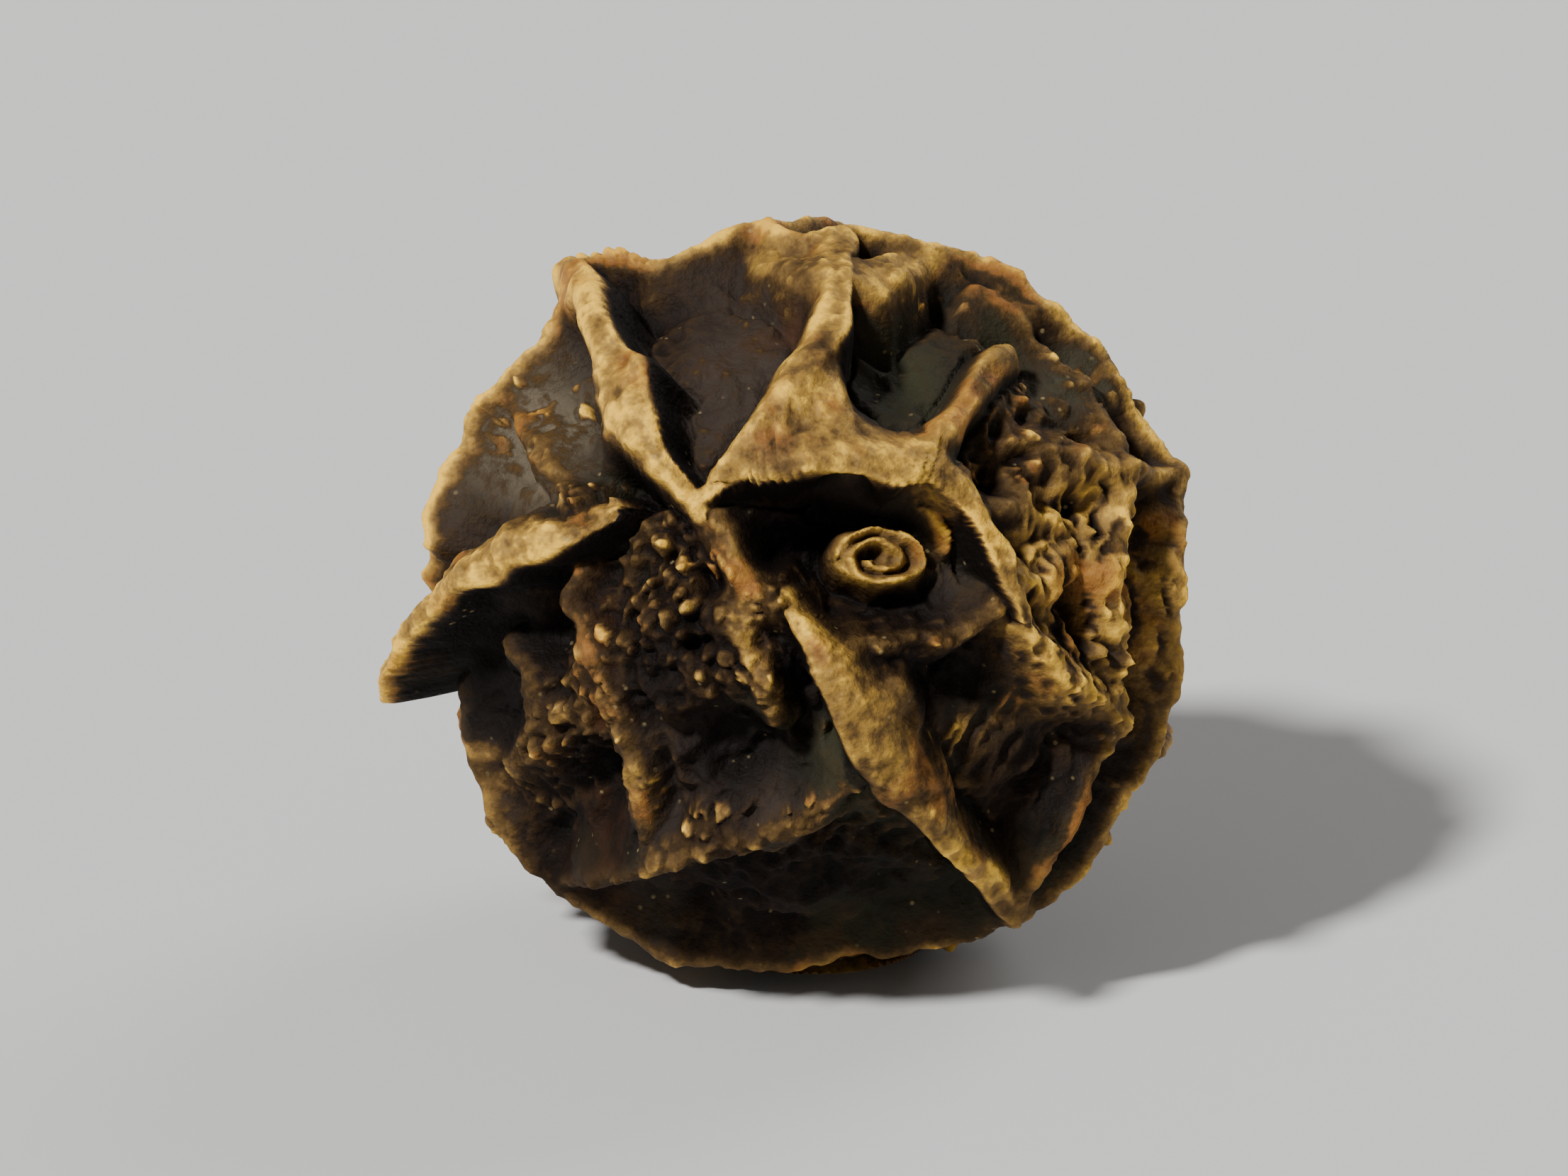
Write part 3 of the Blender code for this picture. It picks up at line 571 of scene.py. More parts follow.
@dataclass(frozen=True)
class Net:
    """The raised net on the sides and the back, as the ridges between uneven cells.

    Attributes:
        seed: Start of the random draws.
        cells: Number of cells over the whole berry.
        unevenness: How far the cells stray from an even spread, as a share of their spacing.
        crest: Smallest and largest distance of a corner from the middle, in millimetres.
        sag: Least and most of its height that a ridge keeps between its corners.
        width: Least and most of full width.
        middle_width: Share of its width that a ridge keeps halfway.
        bend: How far a ridge bows sideways, as a share of its length.
        lean: How far a ridge may lean over, in millimetres.
        tone: Least and most of the full tan.
        front_edge: Cosine beyond which a corner belongs to the front.
        front_border: Cosine beyond which a corner may join the front.
        rim_band: How near the outline a point of the front must lie for the net to join it, as a cosine.
        border_snap: How near that point must be, in millimetres.
        curve_steps: How many straight runs make up each half of a ridge.
    """

    seed: int = 23
    cells: int = 54
    unevenness: float = 0.46
    crest: tuple[float, float] = (2.54, 2.78)
    sag: tuple[float, float] = (0.92, 1.0)
    width: tuple[float, float] = (0.55, 1.1)
    middle_width: float = 0.85
    bend: float = 0.20
    lean: float = 0.04
    tone: tuple[float, float] = (0.25, 0.95)
    front_edge: float = 0.12
    front_border: float = -0.25
    rim_band: float = 0.35
    border_snap: float = 0.50
    curve_steps: int = 3

    def corners_and_edges(self) -> tuple[list[Numbers], list[tuple[int, int]]]:
        """Works out the net from one middle point in each cell.

        Returns:
            The directions of the net's corners, and the pairs of corners that ridges join.
        """
        rng = random.Random(self.seed)
        shift = self.unevenness * math.sqrt(4 * math.pi / self.cells)
        hull = bmesh.new()
        for index in range(self.cells):
            height = 1 - (2 * index + 1) / self.cells
            ring = math.sqrt(1 - height**2)
            turn = index * GOLDEN_ANGLE
            middle = Vector((ring * math.cos(turn), ring * math.sin(turn), height))
            middle += Vector([rng.uniform(-shift, shift) for _ in range(3)])
            hull.verts.new(middle.normalized())
        bmesh.ops.convex_hull(hull, input=hull.verts)
        hull.normal_update()
        faces = sorted(hull.faces, key=lambda face: tuple(face.normal))
        order = {face: index for index, face in enumerate(faces)}
        corners = [np.array(face.normal) for face in faces]
        edges = sorted(tuple(sorted(order[face] for face in edge.link_faces)) for edge in hull.edges)
        hull.free()
        return corners, edges

    def ridges(self, front: Front, drawn: list[Ridge]) -> list[Ridge]:
        """Makes the ridges of the sides and the back, which end at the front's own outer points near them.

        Args:
            front: The side with the stalk scar.
            drawn: The folds and ridges of the front.

        Returns:
            The net's ridges.
        """
        rng = random.Random(self.seed + 1)
        tones = random.Random(self.seed + 2)
        outer = np.array([
            point for ridge in drawn for point in ridge.points
            if abs(point @ front.out) < self.rim_band * np.linalg.norm(point)
        ])
        corners, edges = self.corners_and_edges()
        places = []
        on_border = []
        for corner in corners:
            place = corner * rng.uniform(*self.crest)
            distances = np.linalg.norm(outer - place, axis=1)
            towards = corner @ front.out
            near = towards > self.front_border and distances.min() < self.border_snap
            snapped = towards > self.front_edge or near
            places.append(outer[distances.argmin()] if snapped else place)
            on_border.append(snapped)
        ridges = []
        for first, last in edges:
            bend = rng.uniform(-self.bend, self.bend)
            sag = rng.uniform(*self.sag)
            width = rng.uniform(*self.width)
            lean = rng.uniform(-self.lean, self.lean)
            tone = tones.uniform(*self.tone)
            if on_border[first] and on_border[last]:
                continue
            ridges.append(self.ridge_between(places[first], places[last], bend, sag, width, lean, tone))
        return ridges

    def ridge_between(
        self, start: Numbers, end: Numbers, bend: float, sag: float, width: float, lean: float, tone: float
    ) -> Ridge:
        """Makes one bowed and sagging ridge.

        Args:
            start: Where it starts, in millimetres.
            end: Where it ends, in millimetres.
            bend: How far it bows sideways, as a share of its length.
            sag: The share of its height that it keeps halfway.
            width: Its share of full width.
            lean: How far it leans over, in millimetres.
            tone: How tan its crest is.

        Returns:
            The ridge.
        """
        middle = (start + end) / 2
        across = np.cross(end - start, middle / np.linalg.norm(middle))
        middle += bend * across
        middle *= sag * (np.linalg.norm(start) + np.linalg.norm(end)) / 2 / np.linalg.norm(middle)
        ends = np.array(((*start, width), (*middle, self.middle_width * width), (*end, width)))
        rows = curved(ends, self.curve_steps)
        lean_over = lean * across / np.linalg.norm(across)
        return Ridge(RidgeKind.NET_RIDGE, rows[:, :3], rows[:, 3], lean_over, tone)


@dataclass(frozen=True)
class Scar:
    """The scar of the stalk, a low curled ring in the pit.

    Attributes:
        oval: Its place and size.
        rim_radius: How far the top of its rim is from the middle of the berry, in millimetres.
        middle_radius: How far its middle is.
        rim_share: Where the rim is highest, as a share of the scar's own size.
        rim_width: Width of the rim, as such a share.
        core_gap: How far inside the rim its next turn is highest, as such a share.
        core_width: Width of that inner turn, as such a share.
        core_height: Height of the inner turn, as a share of the rim's height.
        curl: How far the rim winds inwards over half a turn, as such a share.
        foot_share: Where the foot of its wall is, as such a share.
        wall_width: Width of its wall, as such a share.
        unevenness: How uneven its outline and its rim's height are, and over what length in millimetres.
    """

    oval: Oval = Oval(0.60, 0.34, 0.49, 0.36)
    rim_radius: float = 2.26
    middle_radius: float = 2.14
    rim_share: float = 0.70
    rim_width: float = 0.16
    core_gap: float = 0.34
    core_width: float = 0.12
    core_height: float = 0.8
    curl: float = 0.16
    foot_share: float = 1.12
    wall_width: float = 0.34
    unevenness: tuple[float, float, float] = (0.14, 0.35, 0.22)

    def raise_from(
        self, radius: Numbers, places: Numbers, front: Front, spots: Spots
    ) -> tuple[Numbers, Numbers]:
        """Raises a flat-topped stub with an uneven rim.

        Args:
            radius: The skin's radius without the scar.
            places: Points on the even skin, in millimetres.
            front: The side that the scar is on.
            spots: Where the skin lies on the front.

        Returns:
            The radius with the scar, and a mask of the scar.
        """
        outline, rim_height, size = self.unevenness
        rough = smooth_noise(places, size)
        away = front.oval_distance(spots, self.oval) * (1 + outline * rough)
        turn = np.arctan2(spots[1] - self.oval.up, spots[0] - self.oval.right) / math.pi
        wound = away - self.rim_share - self.curl * turn
        rim = np.exp(-((wound / self.rim_width) ** 2)) * (1 + rim_height * rough)
        core = self.core_height * np.exp(-(((wound + self.core_gap) / self.core_width) ** 2))
        top = self.middle_radius + (self.rim_radius - self.middle_radius) * np.maximum(rim, core)
        stub = np.clip((self.foot_share - away) / self.wall_width, 0, 1) * spots[2]
        return radius + (top - radius) * stub, stub


def curved(rows: Numbers, steps: int) -> Numbers:
    """Draws a smooth curve through rows of numbers.

    Args:
        rows: What the curve passes through, one row for each point.
        steps: How many steps it takes from one row to the next.

    Returns:
        The curve's own rows.
    """
    padded = np.vstack((2 * rows[0] - rows[1], rows, 2 * rows[-1] - rows[-2]))
    share = (np.arange(steps) / steps)[:, None]
    spans = []
    for before, start, end, after in zip(padded, padded[1:], padded[2:], padded[3:]):
        bend = 2 * before - 5 * start + 4 * end - after
        twist = 3 * start - before - 3 * end + after
        spans.append(start + ((end - before) * share + bend * share**2 + twist * share**3) / 2)
    return np.vstack((*spans, rows[-1:]))


def smooth_noise(places: Numbers, size: float) -> Numbers:
    """Gives smooth noise.

    Args:
        places: Points, in millimetres.
        size: About how wide its bumps are, in millimetres.

    Returns:
        A number from -1 to 1 at each point.
    """
    return np.array([noise.noise(Vector(place) / size) for place in places])


def broken_cells(places: Numbers, size: float) -> tuple[Numbers, Numbers, Numbers]:
    """Breaks space up into uneven cells.

    Args:
        places: Points, in millimetres.
        size: About how wide a cell is, in millimetres.

    Returns:
        How far each point is from its cell's middle, and from its border, as shares of a cell, and a number
        from 0 to 1 that each cell has for itself.
    """
    middles = np.empty(len(places))
    borders = np.empty(len(places))
    owns = np.empty(len(places))
    for index, place in enumerate(places):
        distances, points = noise.voronoi(Vector(place) / size)
        middles[index] = distances[0]
        borders[index] = distances[1] - distances[0]
        owns[index] = noise.cell(points[0] * size * CELL_NUMBER_STEP)
    return middles, borders, owns


def soft_step(values: Numbers, low: float, high: float) -> Numbers:
    """Goes smoothly from 0 at low to 1 at high.

    Args:
        values: Numbers.
        low: Where the step starts.
        high: Where it ends.

    Returns:
        The step's height at each value.
    """
    share = np.clip((values - low) / (high - low), 0, 1)
    return share * share * (3 - 2 * share)


@dataclass(frozen=True)
class FineRelief:
    """The relief that is too fine for the solid. Lengths are in millimetres.

    Attributes:
        crumbs: How strong crumbs of each size are, and how wide they are.
        crumb_level: Share of the crumbs' height that lies under the even skin.
        crumb_gap: How wide the slopes between crumbs are, as a share of a crumb.
        crumb_dome: Square of the distance from its middle, as such a share, where a crumb has sunk to nought.
        least_crumb: Height of the lowest crumb, as a share of the highest.
        grain_tops: How high in a rough patch the grain starts to be light, and where it is fully so.
        far_crumbs: How high crumbs are on the sides and the back, over what length they come and go, and how
            light their tops are.
        far_crumb_edge: How strong the noise that brings them is where they start, and where they are full.
        streak_size: How wide streaks are, and how long.
        streak_steepness: How steeply they fall off on both sides.
        pit_size: How far apart small pits are.
        pit_wall: How far from its border, as shares of a cell, a pit's wall starts and ends.
        pit_draw: The cell's own number below which it has no pit, and above which it has a full one.
        vein_size: How far apart the fine wrinkles between the ridges are.
        vein_width: How wide they are, as a share of that.
        vein_heights: How high they are on the front, and elsewhere.
        vein_spell: Over what length they come and go, as a multiple of how far apart they are.
        vein_edge: How strong the noise that brings them is where they start, and where they are full.
        wrinkles: How high the leathery wrinkles of all the skin are, and how wide.
        wrinkle_steepness: How steeply they fall off on both sides.
        fold_line: How wide and how long the fine lines along the folds are.
        fold_line_height: How high they are.
        fold_line_step: How far apart two folds' lines are read in the noise.
        bumps: Heights and widths of the skin's small bumps.
    """

    crumbs: tuple[tuple[float, float], ...] = ((0.60, 0.16), (0.40, 0.095))
    crumb_level: float = 0.35
    crumb_gap: float = 0.35
    crumb_dome: float = 0.6
    least_crumb: float = 0.3
    grain_tops: tuple[float, float] = (-0.15, 0.40)
    far_crumbs: tuple[float, float, float] = (0.022, 1.5, 0.25)
    far_crumb_edge: tuple[float, float] = (0.0, 0.25)
    streak_size: tuple[float, float] = (0.11, 0.45)
    streak_steepness: float = 3.0
    pit_size: float = 0.19
    pit_wall: tuple[float, float] = (0.25, 0.8)
    pit_draw: tuple[float, float] = (0.35, 0.6)
    vein_size: float = 0.62
    vein_width: float = 0.10
    vein_heights: tuple[float, float] = (0.030, 0.045)
    vein_spell: float = 1.1
    vein_edge: tuple[float, float] = (-0.15, 0.35)
    wrinkles: tuple[tuple[float, float], ...] = ((0.040, 0.55), (0.030, 0.27), (0.016, 0.13))
    wrinkle_steepness: float = 4.0
    fold_line: tuple[float, float] = (0.075, 0.6)
    fold_line_height: float = 0.016
    fold_line_step: float = 7.3
    bumps: tuple[tuple[float, float], ...] = ((0.018, 0.33), (0.014, 0.12), (0.009, 0.07))

    def rough_patches(self, places: Numbers, front: Front, spots: Spots) -> tuple[Numbers, Numbers]:
        """Breaks the skin up in the rough patches.

        Args:
            places: Points of the skin, in millimetres.
            front: The side that the patches are on.
            spots: Where the points lie on it.

        Returns:
            How far the grain stands out, in millimetres, and a mask of its tops.
        """
        crumbs = self.crumbled(places)
        _, borders, owns = broken_cells(places, self.pit_size)
        pits = -soft_step(borders, *self.pit_wall) * soft_step(owns, *self.pit_draw)
        height = np.zeros(len(places))
        mask = np.zeros(len(places))
        for patch in PATCHES:
            inside = front.inside(spots, patch.oval)
            if patch.grain is Grain.CRUMBS:
                grain = crumbs
            elif patch.grain is Grain.PITS:
                grain = pits
            else:
                grain = self.streaks(places, front, patch.run)
            height += patch.height * grain * inside
            mask = np.maximum(mask, soft_step(grain, *self.grain_tops) * inside)
        far_height, far_size, far_light = self.far_crumbs
        far = soft_step(smooth_noise(places, far_size), *self.far_crumb_edge) * (1 - spots[2])
        far_tops = far_light * far * soft_step(crumbs, *self.grain_tops)
        return height + far_height * far * crumbs, np.maximum(mask, far_tops)

    def crumbled(self, places: Numbers) -> Numbers:
        """Gives rounded crumbs with gaps between them.

        Args:
            places: Points of the skin, in millimetres.

        Returns:
            Their height, from about -1 to 1.
        """
        height = np.zeros(len(places))
        for share, size in self.crumbs:
            middles, borders, owns = broken_cells(places, size)
            round_tops = np.sqrt(np.clip(1 - middles**2 / self.crumb_dome, 0, 1))
            domes = soft_step(borders, 0.0, self.crumb_gap) * round_tops
            own_height = self.least_crumb + (1 - self.least_crumb) * owns
            height += share * (domes * own_height - self.crumb_level)
        return height

    def streaks(self, places: Numbers, front: Front, degrees: float) -> Numbers:
        """Draws uneven lines side by side.

        Args:
            places: Points of the skin, in millimetres.
            front: The side that the streaks are on.
            degrees: The way that they run, anticlockwise from the right.

        Returns:
            The streaks' height, from about -2 to 1.
        """
        turn = math.radians(degrees)
        run = math.cos(turn) * front.right + math.sin(turn) * front.up
        width, length = self.streak_size
        drawn_out = places / width + np.outer(places @ run, run) * (1 / length - 1 / width)
        return 1 - self.streak_steepness * np.abs(smooth_noise(drawn_out, 1.0))

    def wrinkled(self, places: Numbers) -> Numbers:
        """Gives the leathery wrinkles that all of the skin has.

        Args:
            places: Points of the skin, in millimetres.

        Returns:
            Their height, in millimetres.
        """
        height = np.zeros(len(places))
        for amount, size in self.wrinkles:
            height += amount * (1 - self.wrinkle_steepness * np.abs(smooth_noise(places, size)))
        return height

    def fold_lines(self, shape: RidgeShape, number: int) -> Numbers:
        """Draws the fine lines that run along a fold.

        Args:
            shape: The fold as the skin near it meets it.
            number: The fold's number, which sets its own pattern.

        Returns:
            Their height at the points near the fold, from -1 to 1.
        """
        width, length = self.fold_line
        own = np.full(len(shape.near), self.fold_line_step * number)
        return smooth_noise(np.column_stack((shape.across / width, shape.along / length, own)), 1.0)

    def veins(self, places: Numbers, spots: Spots) -> Numbers:
        """Draws the fine wrinkles between the ridges, which come and go.

        Args:
            places: Points of the skin, in millimetres.
            spots: Where they lie on the front.

        Returns:
            The wrinkles' height, in millimetres.
        """
        _, borders, _ = broken_cells(places, self.vein_size)
        shown = soft_step(smooth_noise(places, self.vein_spell * self.vein_size), *self.vein_edge)
        front_height, far_height = self.vein_heights
        height = far_height + (front_height - far_height) * spots[2]
        return height * np.exp(-((borders / self.vein_width) ** 2)) * shown


@dataclass(frozen=True)
class Skin:
    """The dried skin round the seed, with every fold, ridge and hollow. Lengths are in millimetres.

    Attributes:
        front: The side with the stalk scar.
        net: The raised net of the sides and the back.
        scar: The stalk's scar.
        fine: The relief that is too fine for the solid.
        radius: Radius of the even skin, on which lines and places are measured.
        seed_radius: The radius of the hard seed under it.
        seed_unevenness: How uneven the seed is.
        seed_bump_size: How wide the seed's bumps are.
        rest_depth: How far the flat resting spot is below the middle.
        rest_spot_middle: Where the resting spot's middle is, along X and Y.
        rest_spot_radius: The resting spot's radius.
        sharpness: How ridges meet: a high number gives sharp corners, a low one gives webs.
        wander: How far ridges wander from their straight runs, and over what length.
        wander_seed: Start of the draws that place those waves, which Blender draws anew each run without one.
        crest_rounding: Radius of the crests' rounding.
        reach_margin: How far a ridge is worked out, as a multiple of its reach.
        lean_curve: How strongly a fold's lean is kept to its crest.
        undercut: How much steeper an undercut side is, how far its tan colour draws back to the crest as
            painted shade, and how far off the crest's middle it is so in full.
        shade_edge: How near the crest the painted shade of an undercut side starts, and where it is full.
        groove_place: Where the groove along a fold's foot is deepest, as a share of its reach.
        groove_width: How wide that groove is, as such a share.
        width_noise: How uneven the ridges' widths are, and over what length.
        crest_noise: How uneven the crests' heights are, and over what length.
        calm: How much of the leathery wrinkles the smooth floors lose.
        far_calm: How much of them the sides and the back lose.
        crest_calm: How much of them the crests lose.
    """

    front: Front = Front()
    net: Net = Net()
    scar: Scar = Scar()
    fine: FineRelief = FineRelief()
    radius: float = 2.66
    seed_radius: float = 2.29
    seed_unevenness: float = 0.05
    seed_bump_size: float = 1.4
    rest_depth: float = 2.50
    rest_spot_middle: tuple[float, float] = (0.03, 0.00)
    rest_spot_radius: float = 0.85
    sharpness: float = 26.0
    wander: tuple[tuple[float, float], ...] = ((0.085, 0.95), (0.030, 0.38))
    wander_seed: int = 23
    crest_rounding: float = 0.045
    reach_margin: float = 1.5
    lean_curve: float = 1.5
    undercut: tuple[float, float, float] = (0.45, 0.75, 0.07)
    shade_edge: tuple[float, float] = (0.02, 0.15)
    groove_place: float = 0.96
    groove_width: float = 0.20
    width_noise: tuple[float, float] = (0.50, 0.30)
    crest_noise: tuple[tuple[float, float], ...] = ((0.05, 0.60), (0.025, 0.20))
    calm: float = 0.7
    far_calm: float = 0.45
    crest_calm: float = 0.65

    def wandered(self, directions: Numbers) -> Numbers:
        """Moves directions a little, so that what is read there as straight comes out wavy.

        Args:
            directions: Unit vectors from the middle of the berry.

        Returns:
            The moved unit vectors.
        """
        noise.seed_set(self.wander_seed)
        places = directions * self.radius
        moved = places.copy()
        for amount, length in self.wander:
            moved += amount * np.array([noise.noise_vector(Vector(place) / length) for place in places])
        return moved / np.linalg.norm(moved, axis=1)[:, None]

    def ridge_shape(self, directions: Numbers, ridge: Ridge) -> RidgeShape:
        """Works out one fold or ridge for the skin near it.

        Args:
            directions: Unit vectors from the middle of the berry.
            ridge: The fold or ridge.

        Returns:
            Its shape there.
        """
        nearest = np.full(len(directions), np.inf)
        radius, width, across, along = (np.zeros(len(directions)) for _ in range(4))
        reach = self.reach_margin * ridge.kind.reach * ridge.widths.max()
        passed = 0.0
        ends = zip(ridge.points[:-1], ridge.points[1:], ridge.widths[:-1], ridge.widths[1:], strict=True)
        for start, end, start_width, end_width in ends:
            run = end - start
            length = np.linalg.norm(run)
            middle = (start + end) / np.linalg.norm(start + end)
            near = np.flatnonzero(directions @ middle > math.cos((length / 2 + reach) / self.radius))
            places = directions[near] * self.radius
            share = np.clip((places - start) @ run / length**2, 0, 1)
            crest = start + share[:, None] * run
            crest_radius = np.linalg.norm(crest, axis=1)
            off = places - crest * (self.radius / crest_radius)[:, None]
            distance = np.linalg.norm(off, axis=1)
            closer = distance < nearest[near]
            at = near[closer]
            nearest[at] = distance[closer]
            radius[at] = crest_radius[closer]
            width[at] = (start_width + share * (end_width - start_width))[closer]
            across[at] = np.copysign(distance, off @ np.cross(run, start))[closer]
            along[at] = (passed + share * length)[closer]
            passed += length
        near = np.flatnonzero(nearest < reach)
        rounded = np.hypot(nearest[near], self.crest_rounding) - self.crest_rounding
        away = rounded / (ridge.kind.reach * width[near])
        return RidgeShape(near, radius[near], away, width[near], across[near], along[near])

    def floor_radius(self, places: Numbers, spots: Spots) -> Numbers:
        """Gives the skin's radius where no fold lifts it.

        Args:
            places: Points on the even skin, in millimetres.
            spots: Where they lie on the front.

        Returns:
            The radius, in millimetres.
        """
        radius = self.seed_radius + self.seed_unevenness * smooth_noise(places, self.seed_bump_size)
        for hollow in MAIN_HOLLOWS:
            radius -= hollow.depth * self.front.inside(spots, hollow.oval)
        return radius

    def raised(self, directions: Numbers, places: Numbers, floor: Numbers) -> Raised:
        """Raises every fold and ridge from the floor of the skin.

        Args:
            directions: Unit vectors from the middle of the berry, moved so that the ridges come out wavy.
            places: Points on the even skin, in millimetres, in the directions that are not moved.
            floor: The skin's radius where no fold lifts it, in millimetres.

        Returns:
            What the folds and ridges do to the skin.
        """
        unevenness, length = self.width_noise
        spread = 1 + unevenness * smooth_noise(places, length)
        uneven = sum(amount * smooth_noise(places, size) for amount, size in self.crest_noise)
        steepness, shade_pullback, blend = self.undercut
        lifted, groove, tan, crest, lines, shade = (np.zeros(len(directions)) for _ in range(6))
        leaning = np.zeros((len(directions), 3))
        drawn = [self.front.ridge(line) for line in MAIN_LINES]
        for number, ridge in enumerate(drawn + self.net.ridges(self.front, drawn)):
            shape = self.ridge_shape(directions, ridge)
            near = shape.near
            under = np.clip(ridge.undercut * shape.across / blend, 0, 1)
            away = shape.away * (1 + steepness * under) * spread[near]
            nearness = np.clip(1 - away**ridge.kind.breadth, 0, 1) ** ridge.kind.hollowness
            top = np.maximum(shape.radius + uneven[near] - floor[near], 0)
            lift = np.expm1(self.sharpness * top * nearness)
            lifted[near] += lift
            leaning[near] += (lift * nearness**self.lean_curve * shape.width)[:, None] * ridge.lean
            foot = np.exp(-(((away - self.groove_place) / self.groove_width) ** 2))
            groove[near] = np.maximum(groove[near], ridge.kind.groove * (1 + under) * foot)
            # Painted shade: on an undercut side the tan draws back towards the crest, and the skin there is
            # marked to be darkened.
            start, full = ridge.kind.tan
            shaded_tan_start = start + shade_pullback * (full - start) * under
            tan[near] = np.maximum(tan[near], ridge.tone * soft_step(nearness, shaded_tan_start, full))
            shade[near] = np.maximum(shade[near], under * soft_step(nearness, *self.shade_edge))
            crest[near] = np.maximum(crest[near], nearness)
            if ridge.kind is RidgeKind.FOLD:
                lines[near] += self.fine.fold_lines(shape, number) * nearness
        leaning /= np.maximum(lifted, 1.0)[:, None]
        return Raised(lifted, leaning, groove, tan, crest, lines, shade)

    def flattened(self, places: Numbers) -> Numbers:
        """Cuts the skin off level under the berry, and fills the hollow there down to the same level.

        Args:
            places: Points of the skin, in millimetres from the middle of the berry.

        Returns:
            The same points with the resting spot flat.
        """
        under = places[:, 2] < -self.rest_depth / 2
        stretch = np.where(under, -self.rest_depth / np.where(under, places[:, 2], 1), 1)
        spread = np.linalg.norm(places[:, :2] * stretch[:, None] - self.rest_spot_middle, axis=1)
        level_off = under & ((stretch < 1) | (spread < self.rest_spot_radius))
        return np.where(level_off[:, None], places * stretch[:, None], places)

    def shaped(self, directions: Numbers) -> tuple[Numbers, dict[str, Numbers]]:
        """Works out the whole skin.

        Args:
            directions: Unit vectors from the middle of the berry.

        Returns:
            Where the skin lies in each direction, in millimetres, and the masks that its colours follow.
        """
        wavy = self.wandered(directions)
        even = directions * self.radius
        spots = self.front.spots(wavy, self.radius)
        floor = self.floor_radius(even, spots)
        raised = self.raised(wavy, even, floor)
        radius = floor + np.log1p(raised.lifted) / self.sharpness
        radius, scar = self.scar.raise_from(radius, even, self.front, spots)
        formed = directions * radius[:, None] + raised.leaning
        roughness, crumb = self.fine.rough_patches(formed, self.front, spots)
        slits = sum(hollow.depth * self.front.inside(spots, hollow.oval) for hollow in SMALL_HOLLOWS)
        low_down = np.exp(-raised.lifted)
        radius -= raised.groove * low_down * (1 - scar) + slits
        veins = self.fine.veins(formed, spots) * low_down
        radius += roughness + veins + self.fine.fold_line_height * raised.lines
        greys = self.grey_floors(spots)
        calmed = np.maximum(self.calm * greys["grey"], self.far_calm * (1 - spots[2]))
        radius += self.fine.wrinkled(formed) * (1 - self.crest_calm * raised.crest) * (1 - calmed)
        for height, size in self.fine.bumps:
            radius += height * smooth_noise(formed, size)
        places = self.flattened(directions * radius[:, None] + raised.leaning)
        # Painted shade: the marked places and the undercut sides are darkened nearly to black, except on tan
        # crests and the scar.
        painted_shade = np.maximum(self.front.marked(spots, PAINTED_SHADE_OVALS), raised.shade)
        painted_shade *= np.clip(1 - raised.tan - scar, 0, 1)
        return places, {"tan": raised.tan, "crumb": crumb, "scar": scar, "painted_shade": painted_shade, **greys}

    def grey_floors(self, spots: Spots) -> dict[str, Numbers]:
        """Masks the hollows whose floor is grey.

        Args:
            spots: Places on the front.

        Returns:
            How grey the skin is, how green that grey is, and how pale.
        """
        return {
            "grey": self.front.marked(spots, ((oval, 1.0) for oval, _, _ in GREY_FLOORS)),
            "green": self.front.marked(spots, ((oval, green) for oval, green, _ in GREY_FLOORS)),
            "pale": self.front.marked(spots, ((oval, pale) for oval, _, pale in GREY_FLOORS)),
        }


@dataclass(frozen=True)
class Value:
    """A number that varies from place to place. Python's operators on it add Math nodes."""

    maker: NodeMaker
    socket: Socket

    def joined(self, operation: str, *numbers: Value | float) -> Value:
        """Adds a Math node.

        Args:
            operation: What it does.
            numbers: What it does that to.

        Returns:
            Its result.
        """
        node = self.maker.node("ShaderNodeMath", {"operation": operation}, dict(enumerate(numbers)))
        return Value(self.maker, node.outputs[0])

    def __add__(self, other: Value | float) -> Value:
        """Adds."""
        return self.joined("ADD", self, other)

    def __radd__(self, other: float) -> Value:
        """Adds to a plain number."""
        return self.joined("ADD", other, self)

    def __sub__(self, other: Value | float) -> Value:
        """Subtracts."""
        return self.joined("SUBTRACT", self, other)

    def __rsub__(self, other: float) -> Value:
        """Subtracts from a plain number."""
        return self.joined("SUBTRACT", other, self)

    def __mul__(self, other: Value | float) -> Value:
        """Multiplies."""
        return self.joined("MULTIPLY", self, other)

    def __rmul__(self, other: float) -> Value:
        """Multiplies a plain number."""
        return self.joined("MULTIPLY", other, self)

    def stepped(self, low: float, high: float) -> Value:
        """Goes smoothly from 0 at low to 1 at high.

        Args:
            low: Where the step starts.
            high: Where it ends.

        Returns:
            The step's height.
        """
        inputs = {"Value": self, "From Min": low, "From Max": high}
        node = self.maker.node("ShaderNodeMapRange", {"interpolation_type": "SMOOTHSTEP"}, inputs)
        return Value(self.maker, node.outputs[0])

    def larger(self, other: Value | float) -> Value:
        """Gives the larger of two numbers."""
        return self.joined("MAXIMUM", self, other)


